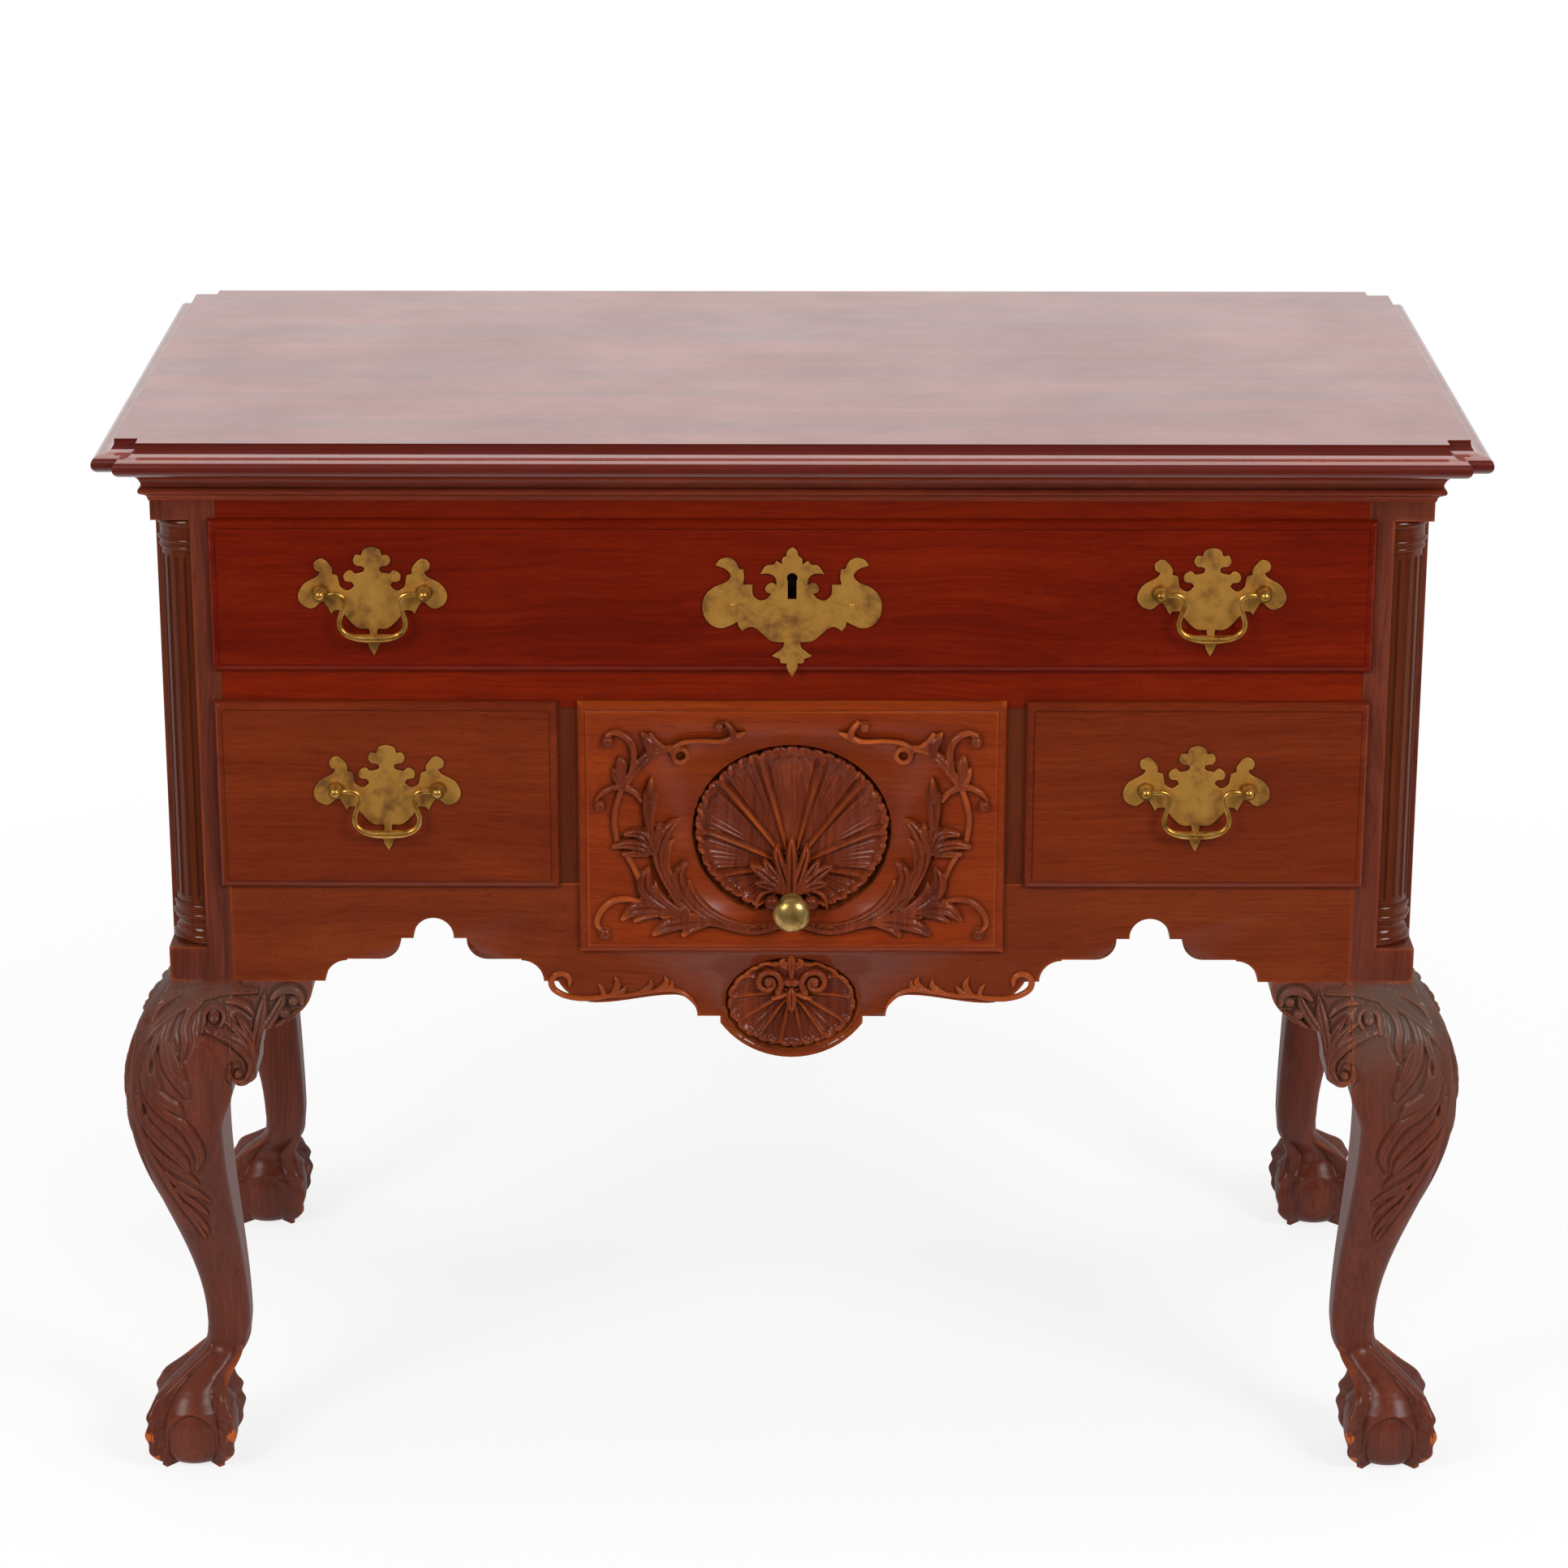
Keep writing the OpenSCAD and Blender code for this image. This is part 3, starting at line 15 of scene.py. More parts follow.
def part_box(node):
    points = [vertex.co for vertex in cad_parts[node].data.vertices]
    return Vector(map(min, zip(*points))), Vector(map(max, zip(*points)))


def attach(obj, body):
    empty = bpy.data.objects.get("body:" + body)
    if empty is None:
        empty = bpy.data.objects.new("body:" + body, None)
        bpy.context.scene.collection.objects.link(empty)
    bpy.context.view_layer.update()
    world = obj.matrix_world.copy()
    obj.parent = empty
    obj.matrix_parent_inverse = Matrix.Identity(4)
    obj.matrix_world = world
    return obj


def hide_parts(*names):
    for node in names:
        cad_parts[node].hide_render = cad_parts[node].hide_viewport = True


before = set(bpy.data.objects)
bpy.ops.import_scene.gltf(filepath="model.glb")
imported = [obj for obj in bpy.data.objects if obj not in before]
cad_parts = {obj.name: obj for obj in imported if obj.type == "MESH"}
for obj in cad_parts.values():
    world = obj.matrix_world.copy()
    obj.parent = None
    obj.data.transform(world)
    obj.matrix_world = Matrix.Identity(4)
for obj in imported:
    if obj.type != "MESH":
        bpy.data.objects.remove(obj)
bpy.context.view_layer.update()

# %% [markdown]
# ## The camera
# The photograph was taken from the middle of the front, about 3.2 m away and 1.5 m up,
# with a long lens that looks a little down. The long lens keeps the legs upright. The
# same place, lens and tilt put every edge where the photograph has it.

# %% Camera
MM = 0.001
FRAME_PX = 1932
FOCAL_PX = 5597.25
PITCH, YAW, ROLL = 0.3247, -0.0012, 0.0010

ahead = Vector((math.sin(YAW)*math.cos(PITCH), math.cos(YAW)*math.cos(PITCH), -math.sin(PITCH)))
level = Vector((math.cos(YAW), -math.sin(YAW), 0))
upward = level.cross(ahead)
right = math.cos(ROLL)*level + math.sin(ROLL)*upward
upward = math.cos(ROLL)*upward - math.sin(ROLL)*level

bpy.ops.object.camera_add(location=(-1.83*MM, -3187.6*MM, 1515.57*MM))
camera = bpy.context.object
camera.data.sensor_width = 36
camera.data.lens = FOCAL_PX/FRAME_PX*36
camera.rotation_mode = "QUATERNION"
camera.rotation_quaternion = Matrix((right, upward, -ahead)).transposed().to_quaternion()
bpy.context.scene.camera = camera
print("lens", round(camera.data.lens, 2), "mm")

# %% [markdown]
# ## Small helpers for nodes
# Each finish is a node tree. One function turns the hex colours of a paint chart into
# the linear values that a shader needs, one starts a material, and one adds a node with
# its settings and its links, so that a recipe reads from top to bottom.

# %% Helpers for materials
def colour(hex_code):
    parts = [int(hex_code[i:i + 2], 16)/255 for i in (1, 3, 5)]
    return (*[c/12.92 if c <= 0.04045 else ((c + 0.055)/1.055)**2.4 for c in parts], 1)


def new_material(name):
    material = bpy.data.materials.new(name)
    material.use_nodes = True
    tree = material.node_tree
    return material, tree, tree.nodes["Principled BSDF"]


def add(tree, kind, settings=None, links=None):
    node = tree.nodes.new("ShaderNode" + kind)
    for key, value in (settings or {}).items():
        if key == "stops":
            ramp = node.color_ramp
            while len(ramp.elements) < len(value):
                ramp.elements.new(0.5)
            for element, (place, tone) in zip(ramp.elements, value):
                element.position = place
                element.color = colour(tone) if isinstance(tone, str) else (tone, tone, tone, 1)
        elif isinstance(key, int) or key in node.inputs:
            node.inputs[key].default_value = value
        else:
            setattr(node, key, value)
    for key, socket in (links or {}).items():
        tree.links.new(socket, node.inputs[key])
    return node


# %% [markdown]
# ## Studio
# The photograph has a pure white ground. A pale floor gives that and keeps a soft
# shadow: to the camera it is mostly a white glow, all of it far from the table, and the
# rest is plain matt paper that can be shaded. Polished wood mirrors what is around it.
# Behind the table that is the white wall, which makes the top look pale and hazy. In
# front of it the paper ends and the dark studio begins, which keeps the drawer fronts a
# deep red.

# %% Floor and world
NEAR_GLOW, FAR_GLOW = 0.8, 1.0
NEAR_TABLE, FAR_FROM_TABLE = 0.55, 1.5
PAPER_END, STUDIO_START = -0.3, -0.9
WALL_SHINE, FRONT_SHINE, FILL_LIGHT = 1.0, 0.06, 0.42

bpy.ops.mesh.primitive_plane_add(size=14, location=(0, 0, -0.2*MM))
floor = bpy.context.object
floor.name = "studio_floor"
paper, tree, shader = new_material("matt_white_paper")
tree.nodes.remove(shader)
rays = add(tree, "LightPath")
seen = add(tree, "Math", {"operation": "MAXIMUM"},
           {0: rays.outputs["Is Camera Ray"], 1: rays.outputs["Is Transmission Ray"]})
spot = add(tree, "NewGeometry").outputs["Position"]
place = add(tree, "SeparateXYZ", links={0: spot})
near = add(tree, "MapRange", {1: STUDIO_START, 2: PAPER_END, 3: 0.03, 4: 1.0},
           {0: place.outputs["Y"]})
mirrored = add(tree, "Math", {"operation": "MULTIPLY"},
               {0: rays.outputs["Is Glossy Ray"], 1: near.outputs[0]})
matt = add(tree, "BsdfDiffuse", {"Color": colour("#f2f2f2")})
glow = add(tree, "Emission", {"Color": (1, 1, 1, 1), "Strength": 1.0})
mirror_glow = add(tree, "Emission", {"Color": (1, 1, 1, 1)}, {"Strength": mirrored.outputs[0]})
away = add(tree, "VectorMath", {"operation": "LENGTH"}, {0: spot})
share = add(tree, "MapRange", {1: NEAR_TABLE, 2: FAR_FROM_TABLE, 3: NEAR_GLOW, 4: FAR_GLOW},
            {0: away.outputs["Value"]})
direct = add(tree, "Math", {"operation": "MULTIPLY"}, {0: seen.outputs[0], 1: share.outputs[0]})
shown = add(tree, "MixShader", links={0: direct.outputs[0], 1: matt.outputs[0],
                                      2: glow.outputs[0]})
whole = add(tree, "MixShader", links={0: rays.outputs["Is Glossy Ray"], 1: shown.outputs[0],
                                      2: mirror_glow.outputs[0]})
tree.links.new(whole.outputs[0], tree.nodes["Material Output"].inputs[0])
floor.data.materials.append(paper)

world = bpy.data.worlds.new("studio")
bpy.context.scene.world = world
world.use_nodes = True
tree = world.node_tree
rays = add(tree, "LightPath")
seen = add(tree, "Math", {"operation": "MAXIMUM"},
           {0: rays.outputs["Is Camera Ray"], 1: rays.outputs["Is Transmission Ray"]})
way = add(tree, "SeparateXYZ", links={0: add(tree, "TexCoord").outputs["Generated"]})
wall = add(tree, "MapRange", {1: -0.35, 2: 0.45, 3: FRONT_SHINE, 4: WALL_SHINE},
           {0: way.outputs["Y"]})
height = add(tree, "MapRange", {1: 0.3, 2: 0.5, 3: 0.88, 4: 1.12}, {0: way.outputs["Z"]})
shine = add(tree, "Math", {"operation": "MULTIPLY"}, {0: wall.outputs[0], 1: height.outputs[0]})
glossy = add(tree, "Mix", {2: FILL_LIGHT}, {0: rays.outputs["Is Glossy Ray"],
                                            3: shine.outputs[0]})
strength = add(tree, "Mix", {3: 1.0}, {0: seen.outputs[0], 2: glossy.outputs[0]})
backdrop = tree.nodes["Background"]
backdrop.inputs["Color"].default_value = (1, 1, 1, 1)
tree.links.new(strength.outputs[0], backdrop.inputs["Strength"])
bpy.context.scene.view_settings.view_transform = "Standard"
print("floor and world ready")

# %% [markdown]
# Two large soft boxes stand high at the left and the right of the camera, as their
# twin reflections on the knob and on the balls of the feet show, and a third hangs
# overhead. Area lamps make such soft, directed light with few samples.

# %% Lamps
def soft_box(name, place, aim, width, height, power):
    bpy.ops.object.light_add(type="AREA", location=place)
    lamp = bpy.context.object
    lamp.name = name
    lamp.data.shape = "RECTANGLE"
    lamp.data.size, lamp.data.size_y = width, height
    lamp.data.energy = power
    lamp.rotation_mode = "QUATERNION"
    lamp.rotation_quaternion = (Vector(aim) - Vector(place)).to_track_quat("-Z", "Y")


TABLE_MIDDLE = (0, -0.1, 0.45)
soft_box("soft_box_left", (-2.0, -2.4, 2.3), TABLE_MIDDLE, 1.1, 1.1, 55)
soft_box("soft_box_right", (2.1, -2.3, 2.3), TABLE_MIDDLE, 1.1, 1.1, 68)
soft_box("soft_box_over", (0, 0.3, 3.0), TABLE_MIDDLE, 2.2, 1.4, 34)

# %% [markdown]
# ## Mahogany
# The case is old mahogany, planed, stained a deep red brown and finished with shellac
# and wax. What the eye reads is a slow drift between plum and orange, broad soft bands
# that run with the grain, hair-fine streaks, short dark pores, and a satin gloss. Dust
# and old wax lie in the carving, and painted shade darkens its hollows too, so hollows
# turn grey brown. Each board is cut from another place in the log: one function makes
# the finish, and every board gets its own seed, its own tones and its own grain direction.
#
# Pores are a tenth of a millimetre wide. They are drawn about five times as wide, so
# that they still show from 3 m.

# %% Patterns of the wood
GRAIN_TURN = {"x": (1, 0, 0), "y": (0, 1, 0), "z": (0, 0, 1)}
PORE_TONE, BARE_TONE, WORN_TONE = "#240a05", "#a8501c", "#b25420"


def stretched(grain, along, across):
    """Scale, per metre, of a pattern that is long with the grain and short across it."""
    return tuple(along if g else across for g in GRAIN_TURN[grain])


def wood_noise(tree, grain, seed, bands):
    """The noises of one board: its bands, streaks, pores and blotches, and its place."""
    shift = (seed*1.37 % 5, seed*2.11 % 5, seed*0.73 % 5)
    place = add(tree, "TexCoord").outputs["Object"]
    drift = add(tree, "TexNoise", {"Scale": 5.0, "Detail": 2.0}, {"Vector": place})
    sway = add(tree, "VectorMath", {"operation": "SCALE", "Scale": 0.03},
               {0: drift.outputs["Color"]})
    bent = add(tree, "VectorMath", {"operation": "ADD"}, {0: place, 1: sway.outputs[0]})
    noise = {"place": place}
    for key, along, across, fineness in (
            ("band", 2.2, bands, {"Detail": 4.0, "Roughness": 0.6}),
            ("streak", 9, 420, {"Detail": 3.0, "Roughness": 0.65}),
            ("pore", 70, 1500, {"Detail": 1.0})):
        placed = add(tree, "Mapping", {"Location": shift,
                                       "Scale": stretched(grain, along, across)},
                     {"Vector": bent.outputs[0]})
        noise[key] = add(tree, "TexNoise", {"Scale": 1.0, **fineness},
                         {"Vector": placed.outputs[0]}).outputs[0]
    noise["blotch"] = add(tree, "TexNoise", {"Scale": 11.0, "Detail": 5.0, "Roughness": 0.6},
                          {"Vector": bent.outputs[0]}).outputs[0]
    return noise


def stained(tree, noise, tones):
    """The clean stained wood: figure in three tones, darker clouds and short pores."""
    dark, middle, light = tones
    figure = add(tree, "Mix", {0: 0.45}, {2: noise["band"], 3: noise["streak"]})
    base = add(tree, "ValToRGB", {"stops": [(0.36, dark), (0.5, middle), (0.66, light)]},
               {0: figure.outputs[0]})
    cloud = add(tree, "ValToRGB", {"stops": [(0.35, 0.0), (0.7, 0.5)]}, {0: noise["blotch"]})
    toned = add(tree, "Mix", {"data_type": "RGBA", 7: colour(dark)},
                {0: cloud.outputs[0], 6: base.outputs[0]})
    pits = add(tree, "ValToRGB", {"stops": [(0.6, 0.0), (0.72, 0.35)]}, {0: noise["pore"]})
    return add(tree, "Mix", {"data_type": "RGBA", 7: colour(PORE_TONE)},
               {0: pits.outputs[0], 6: toned.outputs[2]}).outputs[2]


# %% [markdown]
# Age lies over the stain in layers, and painted shade lies with them. Ambient occlusion darkens
# the hollows and the gaps between pieces: that is dirt and painted shade together. Hands rub the
# crests bare, which the same node finds when it looks inside the wood. Grey dust has settled on the
# top of each knee, the knuckles of the claws have lost chips of their polish, and the upright faces
# of a board are painted darker than its top, as painted shade.
# Each layer is a function that takes the colour below it and returns the new one.

# %% Layers of age and painted shade
def dirt_and_painted_shade(tree, tint, dirt_and_shade_tone, dirt_and_shade_amount, alone):
    """Dirt and painted shade in the hollows and gaps, which ambient occlusion finds. Returns the
    colour, and how much dirt and shade lie at each place.
    """
    # Painted shade: ambient occlusion darkens hollows and gaps between parts, together with the
    # dirt that lies there.
    hollow = add(tree, "AmbientOcclusion", {"only_local": alone, "Distance": 7*MM, "samples": 8})
    deep = add(tree, "ValToRGB", {"stops": [(0.25, 1.0), (0.85, 0.0)]},
               {0: hollow.outputs["AO"]})
    dirt_and_shade_share = add(tree, "Math", {"operation": "MULTIPLY", 1: dirt_and_shade_amount}, {0: deep.outputs[0]})
    shaded_dirty_tint = add(tree, "Mix", {"data_type": "RGBA", 7: colour(dirt_and_shade_tone)}, {0: dirt_and_shade_share.outputs[0], 6: tint})
    return shaded_dirty_tint.outputs[2], dirt_and_shade_share.outputs[0]


def filmed(tree, noise, tint, grey):
    """Grey dust that has settled on the upper part of the knee, in metres of height."""
    level = add(tree, "SeparateXYZ", links={0: noise["place"]}).outputs["Z"]
    top = add(tree, "MapRange", {1: 0.27, 2: 0.345, 3: 0.12, 4: 0.85}, {0: level})
    patchy = add(tree, "MapRange", {1: 0.3, 2: 0.6}, {0: noise["blotch"]})
    knee = add(tree, "MapRange", {1: 0.366, 2: 0.371, 3: 1.0, 4: 0.0}, {0: level})
    low = add(tree, "Math", {"operation": "MULTIPLY"}, {0: top.outputs[0], 1: knee.outputs[0]})
    film = add(tree, "Math", {"operation": "MULTIPLY"}, {0: low.outputs[0], 1: patchy.outputs[0]})
    return add(tree, "Mix", {"data_type": "RGBA", 7: colour(grey)},
               {0: film.outputs[0], 6: tint}).outputs[2]


def rubbed(tree, noise, tint, wear):
    """Crests of the carving that hands have rubbed lighter."""
    ridge = add(tree, "AmbientOcclusion", {"only_local": True, "inside": True,
                                           "Distance": 4*MM, "samples": 6})
    crest = add(tree, "ValToRGB", {"stops": [(0.35, 1.0), (0.8, 0.0)]}, {0: ridge.outputs["AO"]})
    hands = add(tree, "MapRange", {1: 0.35, 2: 0.62, 3: 0.0, 4: wear}, {0: noise["blotch"]})
    amount = add(tree, "Math", {"operation": "MULTIPLY"}, {0: crest.outputs[0],
                                                           1: hands.outputs[0]})
    return add(tree, "Mix", {"data_type": "RGBA", 7: colour(WORN_TONE)},
               {0: amount.outputs[0], 6: tint}).outputs[2]


def chipped(tree, noise, tint, chip):
    """A ragged chip down to bare wood. A place with x > 0 stands for all four legs."""
    x, y, z, radius = chip
    place = noise["place"]
    if x > 0:
        place = add(tree, "VectorMath", {"operation": "ABSOLUTE"}, {0: place}).outputs[0]
    apart = add(tree, "VectorMath", {"operation": "DISTANCE", 1: (x*MM, y*MM, z*MM)}, {0: place})
    ragged = add(tree, "Math", {"operation": "MULTIPLY_ADD", 1: 12*MM, 2: (radius - 6)*MM},
                 {0: noise["streak"]})
    bare = add(tree, "Math", {"operation": "LESS_THAN"},
               {0: apart.outputs["Value"], 1: ragged.outputs[0]})
    return add(tree, "Mix", {"data_type": "RGBA", 7: colour(BARE_TONE)},
               {0: bare.outputs[0], 6: tint}).outputs[2]


# Painted shade: faces that stand upright get a darker tone than faces that look up, as if less
# light fell on them.
def painted_shade_on_upright_faces(tree, tint, side):
    facing = add(tree, "SeparateXYZ", links={0: add(tree, "NewGeometry").outputs["Normal"]})
    upright = add(tree, "MapRange", {1: 0.6, 2: 0.97, 3: 0.85, 4: 0.0}, {0: facing.outputs["Z"]})
    return add(tree, "Mix", {"data_type": "RGBA", 7: colour(side)},
               {0: upright.outputs[0], 6: tint}).outputs[2]


# %% [markdown]
# The finish puts the layers together. Its gloss is all in a thin clear coat, as shellac
# is, so the wood below keeps its depth of colour. The dirt and painted shade of the hollows
# take the gloss away, and the streaks of the grain give a very small bump.

# %% Mahogany
def mahogany(name, grain, tones, seed, dirt_and_shade_amount=0.25, rough=0.34, coat=0.5, bands=45, wear=0.0,
             side=None, gloss=0.0, dirt_and_shade_tone="#4a3128", coat_rough=0.16, grey=None, alone=True,
             chips=()):
    material, tree, shader = new_material(name)
    noise = wood_noise(tree, grain, seed, bands)
    # Dirt and painted shade darken the hollows and gaps.
    tint, dirt_and_shade_share = dirt_and_painted_shade(tree, stained(tree, noise, tones), dirt_and_shade_tone, dirt_and_shade_amount, alone)
    if grey:
        tint = filmed(tree, noise, tint, grey)
    if wear:
        tint = rubbed(tree, noise, tint, wear)
    for chip in chips:
        tint = chipped(tree, noise, tint, chip)
    # Painted shade: upright faces get a darker tone than the top.
    if side:
        tint = painted_shade_on_upright_faces(tree, tint, side)
    tree.links.new(tint, shader.inputs["Base Color"])
    sheen = add(tree, "MapRange", {1: 0.3, 2: 0.7, 3: rough - 0.06, 4: rough + 0.1},
                {0: noise["blotch"]})
    dull = add(tree, "Mix", {3: 0.75}, {0: dirt_and_shade_share, 2: sheen.outputs[0]})
    tree.links.new(dull.outputs[0], shader.inputs["Roughness"])
    bump = add(tree, "Bump", {"Strength": 0.12, "Distance": 0.15*MM}, {"Height": noise["streak"]})
    tree.links.new(bump.outputs[0], shader.inputs["Normal"])
    shader.inputs["Specular IOR Level"].default_value = gloss
    shader.inputs["Coat Weight"].default_value = coat
    shader.inputs["Coat Roughness"].default_value = coat_rough
    return material


# %% [markdown]
# Tones go from the darkest to the lightest. The moulding and the posts are of quieter
# wood than the drawers, the long drawer is the reddest, and the carved pieces were left
# less polished, so that the dirt and painted shade in their hollows and their rubbed crests show.

# %% Mahogany of each piece
TOP = ("#5f1a0c", "#7d2a15", "#923d1e")
DRAWER = ("#510e03", "#601303", "#6f1b05")
SHORT_DRAWER = ("#581d0a", "#66240d", "#722c10")
CARVED = ("#6a2207", "#782b0a", "#84340c")
RAIL = ("#5c1102", "#6b1802", "#772003")
APRON = ("#5c220e", "#692911", "#723014")
POST = ("#481b0b", "#54220f", "#5e2a14")
LEG = ("#4a1d11", "#60291a", "#703420")
MOULDING = ("#602414", "#702b19", "#80341e")
SHELL = ("#44180b", "#622511", "#7b3519")
CHIPS = [(463, 243, 28, 4.5), (400, 243, 28, 4.5), (459, 239, 9, 4), (404, 239, 9, 4),
         (-469, -226, 297, 5), (-469, -226, 285, 5)]
# The darkening of hollows set below is dirt and painted shade together. Where other pieces may
# darken a board, they add painted shade in the gaps between parts, as under the vines and round the
# drawers and plates.
finish_of = {
    # The side tone of the top board is painted shade on its upright edges.
    "top_board": mahogany("polished_mahogany_top", "x", TOP, 1, dirt_and_shade_amount=0, rough=0.3, coat=1.0,
                          bands=22, side="#4c0a02", gloss=0.32),
    "cornice_front": mahogany("moulded_mahogany_front", "x", MOULDING, 2),
    "cornice_left": mahogany("moulded_mahogany_sides", "y", MOULDING, 3),
    "top_rail": mahogany("mahogany_top_rail", "x", RAIL, 4),
    "middle_rail": mahogany("mahogany_middle_rail", "x", RAIL, 5),
    "divider_left": mahogany("mahogany_uprights", "z", POST, 6),
    "apron": mahogany("mahogany_apron", "x", APRON, 7, dirt_and_shade_amount=0.9, wear=0.5, dirt_and_shade_tone="#2b120b",
                      alone=False),
    "long_drawer_front": mahogany("mahogany_long_drawer", "x", DRAWER, 8, coat=0.35, dirt_and_shade_amount=0.9,
                                  dirt_and_shade_tone="#35120c", alone=False),
    "left_drawer_front": mahogany("mahogany_left_drawer", "x", SHORT_DRAWER, 9, dirt_and_shade_amount=0.9,
                                  dirt_and_shade_tone="#35160e", alone=False),
    "right_drawer_front": mahogany("mahogany_right_drawer", "x", SHORT_DRAWER, 10, dirt_and_shade_amount=0.9,
                                   dirt_and_shade_tone="#35160e", alone=False),
    "middle_drawer_front": mahogany("carved_mahogany_drawer", "x", CARVED, 11, dirt_and_shade_amount=1.0,
                                    rough=0.38, coat=0.4, wear=0.9, dirt_and_shade_tone="#2b1109",
                                    coat_rough=0.22, alone=False),
    "leg_front_left": mahogany("carved_mahogany_legs", "z", LEG, 12, dirt_and_shade_amount=1.0, rough=0.5,
                               coat=0.35, wear=0.55, dirt_and_shade_tone="#2a1510", coat_rough=0.3,
                               grey="#55433a", chips=CHIPS),
    "quarter_column_left": mahogany("fluted_mahogany", "z", POST, 13, dirt_and_shade_amount=0.6),
    "side_left": mahogany("mahogany_side_boards", "y", SHORT_DRAWER, 14),
}
for same in ("cornice_right", "divider_right", "quarter_column_right", "side_right"):
    finish_of[same] = finish_of[same.replace("right", "left")]
for same in ("leg_front_right", "leg_back_left", "leg_back_right", "knee_blocks_front",
             "knee_blocks_left", "knee_blocks_right"):
    finish_of[same] = finish_of["leg_front_left"]
print("mahogany finishes", len(set(finish_of.values())))

# %% [markdown]
# ## Pine inside
# Drawer boxes, runners and the back are of plain pine that was never polished. It is
# pale straw with slow amber bands and has gone a little grey. It is matt, so it gets a
# high roughness and no coat.

# %% Pine
def pine(name, grain, seed):
    material, tree, shader = new_material(name)
    raw = add(tree, "TexCoord").outputs["Object"]
    placed = add(tree, "Mapping", {"Location": (seed, seed*0.7, seed*1.9),
                                   "Scale": stretched(grain, 3, 90)}, {"Vector": raw})
    band = add(tree, "TexNoise", {"Scale": 1.0, "Detail": 5.0, "Roughness": 0.6},
               {"Vector": placed.outputs[0]})
    grime = add(tree, "TexNoise", {"Scale": 9.0, "Detail": 4.0}, {"Vector": raw})
    base = add(tree, "ValToRGB", {"stops": [(0.35, "#a87742"), (0.52, "#c49a62"),
                                            (0.68, "#d3b07c")]}, {0: band.outputs[0]})
    grey = add(tree, "ValToRGB", {"stops": [(0.45, 0.0), (0.75, 0.5)]}, {0: grime.outputs[0]})
    aged = add(tree, "Mix", {"data_type": "RGBA", 7: colour("#8a6a48")},
               {0: grey.outputs[0], 6: base.outputs[0]})
    tree.links.new(aged.outputs[2], shader.inputs["Base Color"])
    bump = add(tree, "Bump", {"Strength": 0.2, "Distance": 0.2*MM}, {"Height": band.outputs[0]})
    tree.links.new(bump.outputs[0], shader.inputs["Normal"])
    shader.inputs["Roughness"].default_value = 0.72
    return material


pine_across = pine("pine_across", "x", 1)
pine_deep = pine("pine_front_to_back", "y", 2)
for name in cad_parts:
    if name in finish_of:
        continue
    if name.endswith(("_drawer_back", "_drawer_bottom")) or name == "back_panel":
        finish_of[name] = pine_across
    elif name.endswith(("runners", "guides", "kickers", "cleats", "_sides")):
        finish_of[name] = pine_deep

# %% [markdown]
# ## Old brass and iron
# Plates, bails, posts and knob are cast brass that was once polished. It has gone a
# dull gold, browner where fingers and wax leave it alone, and it is rubbed bright on
# raised edges. The lock inside is iron. On a metal the colour is that of the reflection.
# The film of wax and tarnish is no metal, so metallic stays a little under 1 on the
# brass, and cloudy tarnish changes colour and roughness.

# %% Brass and iron
def old_metal(name, bright, dull, dark, rough, cloud_size, metal=1.0):
    material, tree, shader = new_material(name)
    raw = add(tree, "TexCoord").outputs["Object"]
    cloud = add(tree, "TexNoise", {"Scale": 1/cloud_size, "Detail": 6.0, "Roughness": 0.62},
                {"Vector": raw})
    speck = add(tree, "TexNoise", {"Scale": 900.0, "Detail": 2.0}, {"Vector": raw})
    base = add(tree, "ValToRGB", {"stops": [(0.34, dark), (0.5, dull), (0.68, bright)]},
               {0: cloud.outputs[0]})
    hollow = add(tree, "AmbientOcclusion", {"only_local": True, "Distance": 2.5*MM,
                                            "samples": 8})
    deep = add(tree, "ValToRGB", {"stops": [(0.3, 0.75), (0.8, 0.0)]},
               {0: hollow.outputs["AO"]})
    grimy = add(tree, "Mix", {"data_type": "RGBA", 7: colour(dark)},
                {0: deep.outputs[0], 6: base.outputs[0]})
    tree.links.new(grimy.outputs[2], shader.inputs["Base Color"])
    shine = add(tree, "MapRange", {1: 0.3, 2: 0.7, 3: rough + 0.12, 4: rough - 0.06},
                {0: cloud.outputs[0]})
    tree.links.new(shine.outputs[0], shader.inputs["Roughness"])
    bump = add(tree, "Bump", {"Strength": 0.1, "Distance": 0.1*MM}, {"Height": speck.outputs[0]})
    tree.links.new(bump.outputs[0], shader.inputs["Normal"])
    shader.inputs["Metallic"].default_value = metal
    return material


knob_brass = old_metal("tarnished_knob", "#c9a465", "#a98849", "#6b5329", 0.26, 9*MM, metal=0.75)
brass = old_metal("tarnished_brass", "#d49c48", "#c48c3c", "#87592a", 0.42, 18*MM, metal=0.65)
bail_brass = old_metal("rubbed_brass", "#e6b666", "#c9933f", "#7d5423", 0.3, 9*MM, metal=0.85)
iron = old_metal("old_iron", "#8a8580", "#6a655f", "#3c3733", 0.5, 12*MM)
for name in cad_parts:
    if name.startswith(("plate", "escutcheon")):
        finish_of[name] = brass
    elif name.startswith(("bail", "pull_posts")):
        finish_of[name] = bail_brass
    elif name == "middle_knob":
        finish_of[name] = knob_brass
    elif name.startswith("lock"):
        finish_of[name] = iron
for name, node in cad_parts.items():
    for slot in node.material_slots:
        slot.material = finish_of[name]
print("nodes with a finish", len(finish_of))

# %% [markdown]
# ## Eased edges
# No edge of real joinery is a knife edge: a maker takes it off with fine paper, and a
# century of hands does the rest. A thin bright line of reflection shows there. A copy of
# the solid has its loose triangles joined, and a small bevel goes on the sharp edges. The
# normals then lean on the large faces, so the flats stay flat and only the edge turns.
# The copy stands for its node.

